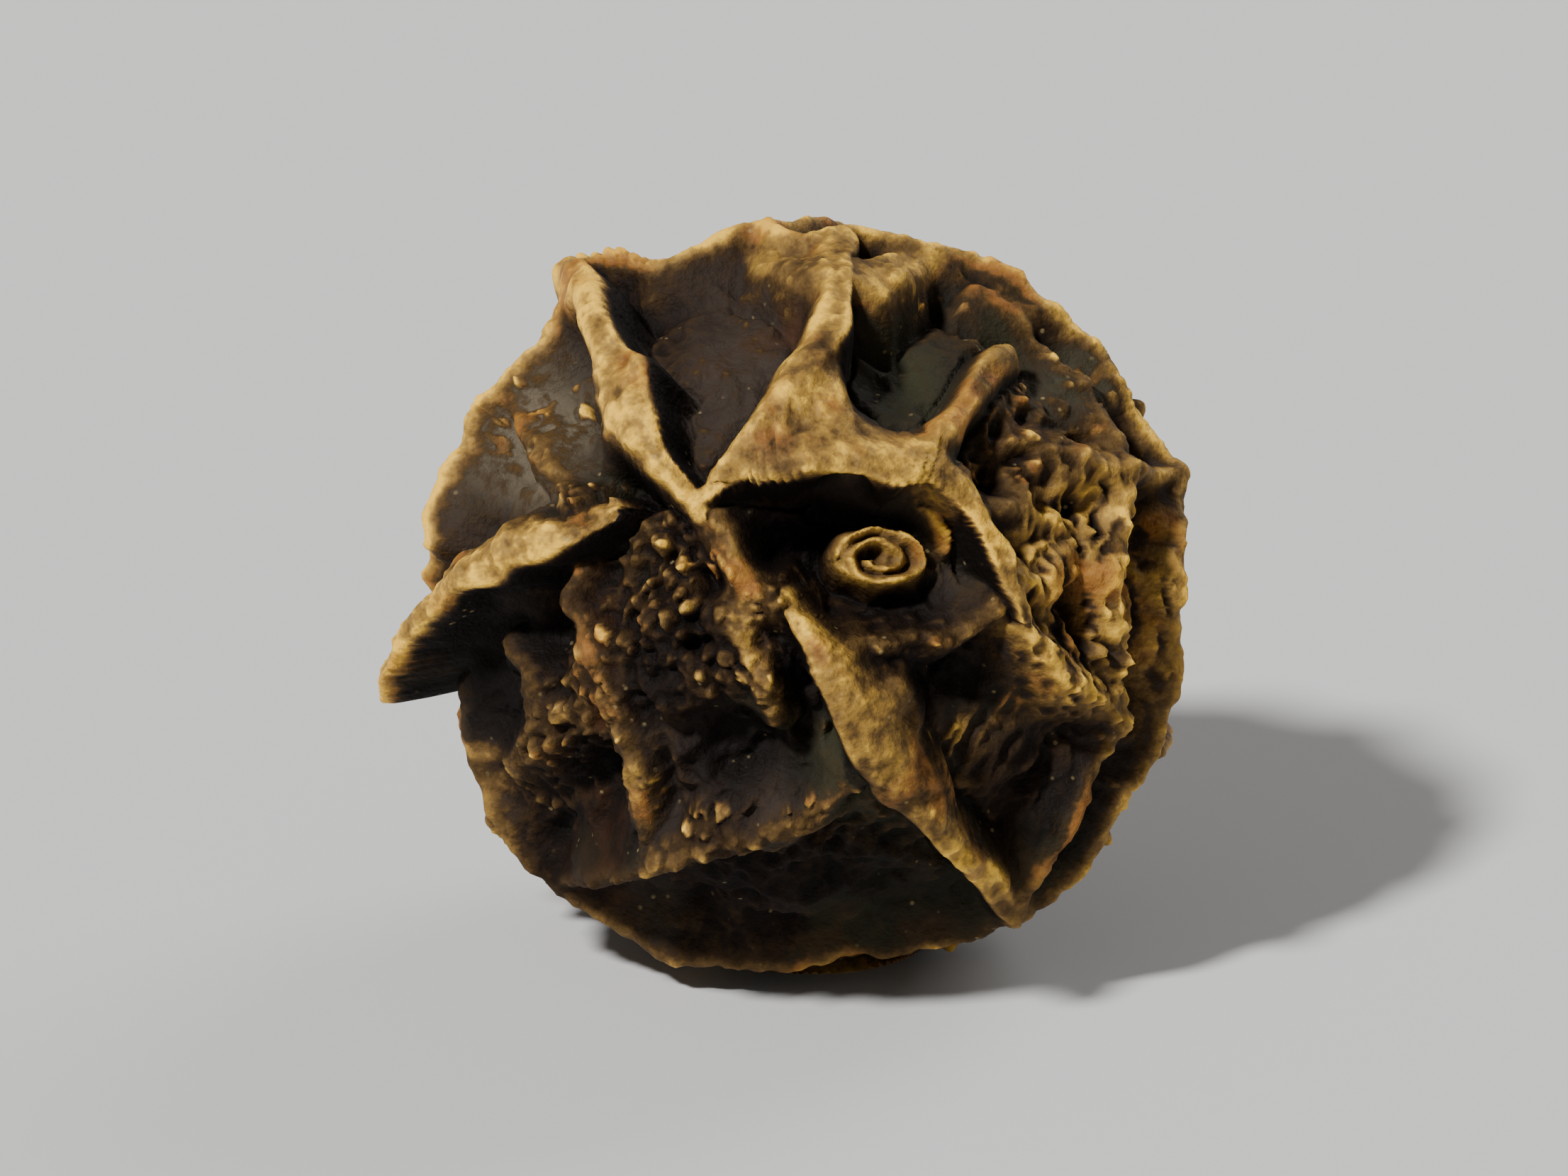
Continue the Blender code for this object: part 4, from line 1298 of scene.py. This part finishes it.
@dataclass(frozen=True)
class NodeMaker:
    """Adds nodes to one material's or one world's tree."""

    tree: bpy.types.NodeTree

    def node(
        self, kind: str, settings: dict[str, Any] | None = None, inputs: dict[str | int, Any] | None = None
    ) -> bpy.types.Node:
        """Adds a node.

        Args:
            kind: The node's type.
            settings: Its settings, which are set first. A ramp's stops are pairs of a place and a colour.
            inputs: Values or links for its sockets, by name or number.

        Returns:
            The new node.
        """
        node = self.tree.nodes.new(kind)
        for name, setting in (settings or {}).items():
            if name == "stops":
                self.set_stops(node, setting)
            else:
                setattr(node, name, setting)
        for key, given in (inputs or {}).items():
            self.feed(node, key, given)
        return node

    def feed(self, node: bpy.types.Node, key: str | int, given: Any) -> None:
        """Sets or links one socket of a node.

        Args:
            node: The node.
            key: The socket's name or number.
            given: A value, a socket, or a number that varies.
        """
        if isinstance(key, int):
            socket = node.inputs[key]
        else:
            socket = next(each for each in node.inputs if each.enabled and each.name == key)
        if isinstance(given, Value):
            given = given.socket
        if isinstance(given, Socket):
            self.tree.links.new(given, socket)
        else:
            socket.default_value = given

    @staticmethod
    def set_stops(node: bpy.types.Node, stops: tuple[tuple[float, Colour], ...]) -> None:
        """Sets the stops of a colour ramp.

        Args:
            node: The ramp's node.
            stops: Pairs of a place and a colour.
        """
        elements = node.color_ramp.elements
        while len(elements) < len(stops):
            elements.new(1.0)
        for element, (place, colour) in zip(elements, stops, strict=True):
            element.position = place
            element.color = (*colour, 1.0)

    def attribute(self, name: str) -> Value:
        """Reads a mask that the mesh keeps at its points."""
        return Value(self, self.node("ShaderNodeAttribute", {"attribute_name": name}).outputs["Fac"])

    def noise(self, places: Socket, size: float, detail: float = 2.0, roughness: float = 0.5) -> Value:
        """Adds smooth noise.

        Args:
            places: Where it is read, in millimetres.
            size: About how wide its bumps are, in millimetres.
            detail: How many finer layers it has.
            roughness: How strong those are.

        Returns:
            A number about 0.5.
        """
        inputs = {"Vector": places, "Scale": 1 / size, "Detail": detail, "Roughness": roughness}
        return Value(self, self.node("ShaderNodeTexNoise", None, inputs).outputs[0])

    def mixed(self, share: Value | float, first: Socket | Colour, second: Socket | Colour) -> Socket:
        """Mixes two colours.

        Args:
            share: How much of the second there is.
            first: The first colour.
            second: The second colour.

        Returns:
            The mixed colour.
        """
        inputs = {"Factor": share, "A": self.opaque(first), "B": self.opaque(second)}
        node = self.node("ShaderNodeMix", {"data_type": "RGBA"}, inputs)
        return next(each for each in node.outputs if each.enabled)

    @staticmethod
    def opaque(colour: Socket | Colour) -> Socket | tuple[float, ...]:
        """Gives a plain colour its fourth number."""
        return (*colour, 1.0) if isinstance(colour, tuple) else colour


@dataclass(frozen=True)
class Blotches:
    """Uneven blotches of a colour on the skin.

    Attributes:
        size: About how wide they are, in millimetres.
        detail: How many finer layers their outline has.
        edge: How strong the noise is where they start, and where they are full.
        share: How much of their colour they have at most.
    """

    size: float
    detail: float
    edge: tuple[float, float]
    share: float = 1.0

    def mask(self, maker: NodeMaker, places: Socket) -> Value:
        """Says where the blotches are."""
        return maker.noise(places, self.size, self.detail).stepped(*self.edge)


@dataclass(frozen=True)
class Lightness:
    """How light the skin is, where 0 is the deepest groove and 1 the brightest crest.

    Attributes:
        floor: How light a floor is that nothing else lightens or darkens.
        mottling: How much of the broad mottling it has.
        flecking: How much of the fine flecks it has.
        tan_flecking: Share of the flecks that tan crests lose.
        tan: How light the mottling makes a tan crest, and what is then taken off.
        crumb: How light the tops of crumbs are.
        crumb_in_shade: Share of that which the painted shade takes away.
        scar: How light the scar is.
        swelling: How much swollen places are lightened, as a painted highlight.
        relief: How much small crests are lightened as a painted highlight, and small grooves darkened as
            painted shade.
        sinking: How much sunken places are darkened, as painted shade.
        painted_shade: How much the painted shade darkens.
    """

    floor: float = 0.24
    mottling: float = 0.45
    flecking: float = 0.40
    tan_flecking: float = 0.5
    tan: tuple[float, float] = (1.12, 0.10)
    crumb: float = 0.70
    crumb_in_shade: float = 0.8
    scar: float = 0.38
    swelling: float = 0.18
    relief: float = 0.22
    sinking: float = 0.42
    painted_shade: float = 0.30

    def number(self, maker: NodeMaker, mottle: Value, fleck: Value) -> Value:
        """Works out how light the skin is.

        Args:
            maker: Adds the nodes.
            mottle: Broad uneven noise, about 0.5.
            fleck: Fine uneven noise, about 0.5.

        Returns:
            A number from about 0 to 1.
        """
        tan = maker.attribute("tan")
        swell = maker.attribute("swell")
        painted_shade = maker.attribute("painted_shade")
        floor = self.floor + self.mottling * (mottle - NOISE_MIDDLE)
        mottled_tan = tan * (self.tan[0] * mottle - self.tan[1])
        crumb = self.crumb * maker.attribute("crumb") * (1 - self.crumb_in_shade * painted_shade)
        covered = mottled_tan.larger(crumb).larger(self.scar * maker.attribute("scar"))
        # Painted highlight on swollen places and small crests; painted shade in sunken places, small grooves
        # and the marked dark places.
        standing_out = self.swelling * swell.larger(0.0) + self.relief * maker.attribute("relief")
        sunk = self.sinking * (0 - swell).larger(0.0) + self.painted_shade * painted_shade
        flecks = self.flecking * (fleck - NOISE_MIDDLE) * (1 - self.tan_flecking * tan)
        return floor + covered + standing_out * (1 - painted_shade) - sunk + flecks


@dataclass(frozen=True)
class SkinFinish:
    """Dried pepper skin: tan crests over brown-black and grey hollows, matte with a slight waxy gloss.

    Attributes:
        lightness: How light the skin is.
        stops: Colours from the deepest groove to the brightest crest.
        ruddy: Colour of the ruddy patches on the crests.
        violet_grey: Floor of the violet-grey hollows.
        green_grey: Floor of the green-grey hollows.
        pale_grey: Floor of the pale hollows.
        rust: Colour of the reddish patches.
        speck: Colour of the fine light specks.
        green_blotches: Where floors that are not marked on the front are green-grey.
        grey_blotches: Where they are grey at all.
        rust_blotches: Where floors are reddish.
        ruddy_blotches: Where crests are ruddy.
        speck_blotches: Where the specks gather.
        specks: How far apart the specks are, in millimetres, and where one starts and ends to fade.
        low: How light a floor's colour is in full, and how light the skin is where none of it is left.
        crests: How light the skin is where the ruddy colour starts, and where it is full.
        grey_mottling: Least share of the floors' grey, and how much the mottling adds to it.
        mottle: Size in millimetres, detail and roughness of the broad mottling.
        fleck: The same of the fine flecks.
        fine_grain: The same of the finest grain.
        coarse_grain: The same of the next coarser grain.
        coarse_share: How strong that is beside the finest.
        grain_depth: Depth of the grain, in millimetres.
        roughness: How rough the floors are.
        gloss: How much smoother the crests are, and how light the skin is where that starts and is full.
        rough_flecks: How much the flecks change the roughness.
        specular: How strongly the skin mirrors light.
    """

    lightness: Lightness = Lightness()
    stops: tuple[tuple[float, Colour], ...] = (
        (0.00, (0.0030, 0.0015, 0.0008)),
        (0.16, (0.0095, 0.0042, 0.0018)),
        (0.36, (0.0370, 0.0195, 0.0065)),
        (0.58, (0.1240, 0.0690, 0.0210)),
        (0.80, (0.3600, 0.2050, 0.0400)),
        (1.00, (0.9600, 0.5600, 0.0600)),
    )
    ruddy: Colour = (0.360, 0.120, 0.020)
    violet_grey: Colour = (0.043, 0.030, 0.023)
    green_grey: Colour = (0.031, 0.031, 0.015)
    pale_grey: Colour = (0.150, 0.120, 0.078)
    rust: Colour = (0.075, 0.024, 0.006)
    speck: Colour = (0.360, 0.270, 0.120)
    green_blotches: Blotches = Blotches(1.7, 1.0, (0.45, 0.60))
    grey_blotches: Blotches = Blotches(1.3, 2.0, (0.46, 0.62), share=0.7)
    rust_blotches: Blotches = Blotches(0.9, 3.0, (0.56, 0.72), share=0.5)
    ruddy_blotches: Blotches = Blotches(0.55, 3.0, (0.52, 0.68), share=0.45)
    speck_blotches: Blotches = Blotches(0.30, 1.0, (0.56, 0.66), share=0.45)
    specks: tuple[float, float, float] = (0.11, 0.08, 0.20)
    low: tuple[float, float] = (0.22, 0.46)
    crests: tuple[float, float] = (0.40, 0.60)
    grey_mottling: tuple[float, float] = (0.45, 0.9)
    mottle: tuple[float, float, float] = (0.45, 4.0, 0.7)
    fleck: tuple[float, float, float] = (0.09, 3.0, 0.65)
    fine_grain: tuple[float, float, float] = (0.05, 3.0, 0.6)
    coarse_grain: tuple[float, float, float] = (0.12, 2.0, 0.5)
    coarse_share: float = 0.8
    grain_depth: float = 0.020
    roughness: float = 0.72
    gloss: tuple[float, float, float] = (0.24, 0.35, 0.9)
    rough_flecks: float = 0.24
    specular: float = 0.12

    def material(self) -> bpy.types.Material:
        """Builds the skin's material.

        Returns:
            The material.
        """
        material = bpy.data.materials.new("dried pepper skin")
        material.use_nodes = True
        material.node_tree.nodes.clear()
        maker = NodeMaker(material.node_tree)
        coordinates = maker.node("ShaderNodeTexCoord").outputs["Object"]
        scaled = maker.node("ShaderNodeVectorMath", {"operation": "SCALE"}, {0: coordinates, "Scale": 1 / MM})
        places = scaled.outputs[0]
        mottle = maker.noise(places, *self.mottle)
        fleck = maker.noise(places, *self.fleck)
        light = self.lightness.number(maker, mottle, fleck)
        smoothing, smooth_start, smooth_full = self.gloss
        smoother = smoothing * light.stepped(smooth_start, smooth_full)
        shader = maker.node("ShaderNodeBsdfPrincipled", None, {
            "Base Color": self.colour(maker, places, light, mottle),
            "Roughness": self.roughness - smoother + self.rough_flecks * (fleck - NOISE_MIDDLE),
            "Normal": self.grain(maker, places),
            "Specular IOR Level": self.specular,
        })
        maker.node("ShaderNodeOutputMaterial", None, {"Surface": shader.outputs[0]})
        return material

    def colour(self, maker: NodeMaker, places: Socket, light: Value, mottle: Value) -> Socket:
        """Colours the skin by how light it is, with grey and rusty floors, ruddy crests and a few specks.

        Args:
            maker: Adds the nodes.
            places: Where the noise is read, in millimetres.
            light: How light the skin is.
            mottle: Broad uneven noise.

        Returns:
            The colour.
        """
        ramp = maker.node("ShaderNodeValToRGB", {"stops": self.stops}, {"Fac": light})
        # Grey and rusty floors stay off the painted shade.
        low = (1 - light.stepped(*self.low)) * (1 - maker.attribute("painted_shade"))
        least_grey, mottled_grey = self.grey_mottling
        blotched = self.grey_blotches.share * self.grey_blotches.mask(maker, places)
        grey = maker.attribute("grey").larger(blotched) * low * (least_grey + mottled_grey * mottle)
        skin = maker.mixed(grey, ramp.outputs[0], self.grey_colour(maker, places))
        rusty = self.rust_blotches.mask(maker, places) * low
        skin = maker.mixed(self.rust_blotches.share * rusty, skin, self.rust)
        blushed = self.ruddy_blotches.mask(maker, places) * light.stepped(*self.crests)
        skin = maker.mixed(self.ruddy_blotches.share * blushed, skin, self.ruddy)
        gap, fade_start, fade_end = self.specks
        dots = maker.node("ShaderNodeTexVoronoi", None, {"Vector": places, "Scale": 1 / gap})
        close = 1 - Value(maker, dots.outputs["Distance"]).stepped(fade_start, fade_end)
        gathered = self.speck_blotches.share * close * self.speck_blotches.mask(maker, places)
        return maker.mixed(gathered, skin, self.speck)

    def grey_colour(self, maker: NodeMaker, places: Socket) -> Socket:
        """Gives the colour of the grey floors, violet, green or pale.

        Args:
            maker: Adds the nodes.
            places: Where the noise is read, in millimetres.

        Returns:
            The colour.
        """
        elsewhere = self.green_blotches.mask(maker, places) * (1 - maker.attribute("grey"))
        green = maker.attribute("green").larger(elsewhere)
        darker = maker.mixed(green, self.violet_grey, self.green_grey)
        return maker.mixed(maker.attribute("pale"), darker, self.pale_grey)

    def grain(self, maker: NodeMaker, places: Socket) -> Socket:
        """Roughens the skin below what the mesh can hold.

        Args:
            maker: Adds the nodes.
            places: Where the noise is read, in millimetres.

        Returns:
            The bumped normal.
        """
        coarse = maker.noise(places, *self.coarse_grain)
        height = maker.noise(places, *self.fine_grain) + self.coarse_share * coarse
        bump = maker.node("ShaderNodeBump", None, {"Distance": self.grain_depth * MM, "Height": height})
        return bump.outputs[0]


@dataclass(frozen=True)
class Peppercorn:
    """The dried berry, modelled as one closed skin.

    Attributes:
        skin: The skin's shape.
        finish: The skin's finish.
        ball_steps: How often the ball that the skin starts from is divided.
        kept: Share of the ball's triangles that thinning leaves.
        reliefs: For each mask that tells crests from grooves, how often the skin is smoothed for it, and how
            far a crest stands above the smoothed skin where it counts as 1, in millimetres.
    """

    skin: Skin = Skin()
    finish: SkinFinish = SkinFinish()
    ball_steps: int = 8
    kept: float = 0.59
    reliefs: tuple[tuple[str, int, float], ...] = (("relief", 8, 0.030), ("swell", 60, 0.16))

    def build(self) -> bpy.types.Object:
        """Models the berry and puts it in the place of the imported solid.

        Returns:
            The finished piece.
        """
        bpy.ops.object.select_all(action="DESELECT")
        bpy.ops.mesh.primitive_ico_sphere_add(subdivisions=self.ball_steps, radius=self.skin.radius)
        berry = bpy.context.object
        berry.name = "peppercorn_skin"
        directions = self.read_places(berry.data)
        directions /= np.linalg.norm(directions, axis=1)[:, None]
        places, masks = self.skin.shaped(directions)
        self.write_places(berry.data, places)
        for name, passes, height in self.reliefs:
            masks[name] = self.relief(berry.data, passes, height)
        for name, values in masks.items():
            attribute = berry.data.attributes.new(name, "FLOAT", "POINT")
            attribute.data.foreach_set("value", values)
        self.thin_out(berry)
        self.stand(berry.data)
        bpy.ops.object.shade_smooth()
        berry.data.materials.append(self.finish.material())
        return berry

    @staticmethod
    def read_places(mesh: bpy.types.Mesh) -> Numbers:
        """Reads where a mesh's points are.

        Args:
            mesh: The mesh.

        Returns:
            One row for each point.
        """
        places = np.empty(len(mesh.vertices) * 3)
        mesh.vertices.foreach_get("co", places)
        return places.reshape(-1, 3)

    @staticmethod
    def write_places(mesh: bpy.types.Mesh, places: Numbers) -> None:
        """Moves a mesh's points."""
        mesh.vertices.foreach_set("co", places.ravel())
        mesh.update()

    def relief(self, mesh: bpy.types.Mesh, passes: int, height: float) -> Numbers:
        """Tells crests from grooves, by how far each point is from the smoothed skin.

        Args:
            mesh: The skin, in millimetres.
            passes: How often it is smoothed.
            height: How far a crest stands above the smoothed skin where it counts as 1, in millimetres.

        Returns:
            A number at each point, above 0 on crests and below 0 in grooves.
        """
        places = self.read_places(mesh)
        ends = np.empty(len(mesh.edges) * 2, dtype=np.int64)
        mesh.edges.foreach_get("vertices", ends)
        first, last = ends.reshape(-1, 2).T
        neighbours = np.bincount(ends, minlength=len(places))
        normals = np.empty(len(places) * 3)
        mesh.vertices.foreach_get("normal", normals)
        smooth = places.copy()
        for _ in range(passes):
            for axis in range(3):
                total = np.bincount(first, smooth[last, axis], len(places))
                total += np.bincount(last, smooth[first, axis], len(places))
                smooth[:, axis] = (smooth[:, axis] + total / neighbours) / 2
        above = np.einsum("ij,ij->i", places - smooth, normals.reshape(-1, 3))
        return np.clip(above / height, -1, 1)

    def thin_out(self, berry: bpy.types.Object) -> None:
        """Leaves fewer triangles, most of them where the skin has most shape.

        Args:
            berry: The berry, which is active.
        """
        thin = berry.modifiers.new("Thin out", "DECIMATE")
        thin.ratio = self.kept
        bpy.ops.object.modifier_apply(modifier=thin.name)

    def stand(self, mesh: bpy.types.Mesh) -> None:
        """Turns millimetres into metres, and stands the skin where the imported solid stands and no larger.

        Args:
            mesh: The skin, in millimetres from the middle of the berry.
        """
        places = self.read_places(mesh)
        low, high = (np.array(corner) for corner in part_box("peppercorn"))
        least = places.min(axis=0)
        most = places.max(axis=0)
        scale = min(MM, *((high - low) / (most - least)))
        shift = (low + high - (least + most) * scale) / 2
        shift[2] = low[2] + self.skin.rest_depth * scale
        self.write_places(mesh, places * scale + shift)


@dataclass(frozen=True)
class Sun:
    """A soft, even light from far away.

    Attributes:
        name: The light's name.
        towards: The way to the light from the berry.
        strength: The light's strength.
        spread: How wide the light looks, in degrees.
        distance: Where it stands on that way, in metres, which changes nothing in its light.
    """

    name: str
    towards: tuple[float, float, float]
    strength: float
    spread: float
    distance: float = 0.1

    def place(self) -> None:
        """Adds the light."""
        towards = Vector(self.towards)
        bpy.ops.object.light_add(type="SUN", location=towards.normalized() * self.distance)
        sun = bpy.context.object
        sun.name = self.name
        sun.rotation_euler = towards.to_track_quat("Z", "Y").to_euler()
        sun.data.energy = self.strength
        sun.data.angle = math.radians(self.spread)

    def floor_share(self) -> float:
        """Says how strongly it lights a white level floor."""
        return self.strength * Vector(self.towards).normalized().z / math.pi


@dataclass(frozen=True)
class Studio:
    """A plain pale floor, soft light, and the camera.

    Attributes:
        floor_colour: Colour of the floor.
        floor_roughness: How matte the floor is.
        floor_radius: How far the floor reaches, in metres.
        floor_sides: How many sides its round edge has.
        suns: The lights.
        sky: Colour of the light from all round.
        sky_strength: Its strength.
        horizon: How far up the floor's own glow reaches beyond its edge, and where it has faded, as sines.
        elevation: How far the camera looks down, in degrees.
        distance: How far off the camera is, in metres.
        clip: Nearest and furthest that the camera sees, as multiples of that.
        frame_height: Height of what the camera takes in at the berry, in metres.
        frame_shape: Width and height of the picture, in pixels.
        sensor: Width of the camera's sensor, in millimetres.
    """

    floor_colour: Colour = (0.66, 0.655, 0.645)
    floor_roughness: float = 0.9
    floor_radius: float = 0.6
    floor_sides: int = 96
    suns: tuple[Sun, ...] = (
        Sun("key light", towards=(-0.58, -0.62, 0.92), strength=4.6, spread=7.0),
        Sun("back light", towards=(0.75, 0.80, 0.75), strength=1.1, spread=30.0),
    )
    sky: Colour = (1.0, 0.98, 0.95)
    sky_strength: float = 0.14
    horizon: tuple[float, float] = (0.03, 0.12)
    elevation: float = 20.0
    distance: float = 0.25
    clip: tuple[float, float] = (0.01, 10.0)
    frame_height: float = 0.0082
    frame_shape: tuple[int, int] = (2212, 1659)
    sensor: float = 36.0

    def build(self) -> None:
        """Sets up the floor, the light and the camera."""
        self.lay_floor()
        self.light_sky()
        for sun in self.suns:
            sun.place()
        self.place_camera()

    def lay_floor(self) -> None:
        """Lays the floor under the berry."""
        bpy.ops.object.select_all(action="DESELECT")
        bpy.ops.mesh.primitive_circle_add(
            vertices=self.floor_sides, radius=self.floor_radius, fill_type="NGON"
        )
        floor = bpy.context.object
        floor.name = "floor"
        material = bpy.data.materials.new("pale floor")
        material.use_nodes = True
        shader = material.node_tree.nodes["Principled BSDF"]
        shader.inputs["Base Color"].default_value = (*self.floor_colour, 1.0)
        shader.inputs["Roughness"].default_value = self.floor_roughness
        floor.data.materials.append(material)

    def light_sky(self) -> None:
        """Lights the scene a little from all round, and carries the floor's own colour on past its edge."""
        world = bpy.data.worlds.new("studio")
        world.use_nodes = True
        maker = NodeMaker(world.node_tree)
        glow = self.sky_strength + sum(sun.floor_share() for sun in self.suns)
        floor = tuple(part * glow for part in self.floor_colour)
        sky = tuple(part * self.sky_strength for part in self.sky)
        way = maker.node("ShaderNodeTexCoord").outputs["Generated"]
        height = Value(maker, maker.node("ShaderNodeSeparateXYZ", None, {0: way}).outputs["Z"])
        colour = maker.mixed(height.stepped(*self.horizon), floor, sky)
        maker.feed(world.node_tree.nodes["Background"], "Color", colour)
        bpy.context.scene.world = world

    def place_camera(self) -> None:
        """Looks at the berry's middle as the photograph does."""
        low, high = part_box("peppercorn")
        tilt = math.radians(self.elevation)
        back = Vector((0.0, -math.cos(tilt), math.sin(tilt)))
        bpy.ops.object.camera_add(location=(low + high) / 2 + back * self.distance)
        camera = bpy.context.object
        camera.rotation_euler = back.to_track_quat("Z", "Y").to_euler()
        pixels_wide, pixels_high = self.frame_shape
        nearest, furthest = self.clip
        camera.data.sensor_width = self.sensor
        camera.data.lens = self.sensor * self.distance / (self.frame_height * pixels_wide / pixels_high)
        camera.data.clip_start = self.distance * nearest
        camera.data.clip_end = self.distance * furthest
        bpy.context.scene.camera = camera


def main() -> None:
    """Builds the berry and the studio."""
    berry = Peppercorn().build()
    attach(berry, "root")
    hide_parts("peppercorn")
    LOG.info("%s has %d triangles", berry.name, len(berry.data.polygons))
    LOG.info("its front has %s", ", ".join(line.name for line in MAIN_LINES))
    Studio().build()
    LOG.info("floor, lights and camera are in place")


if __name__ == "__main__":
    logging.basicConfig(level=logging.INFO, format="%(message)s")
    main()
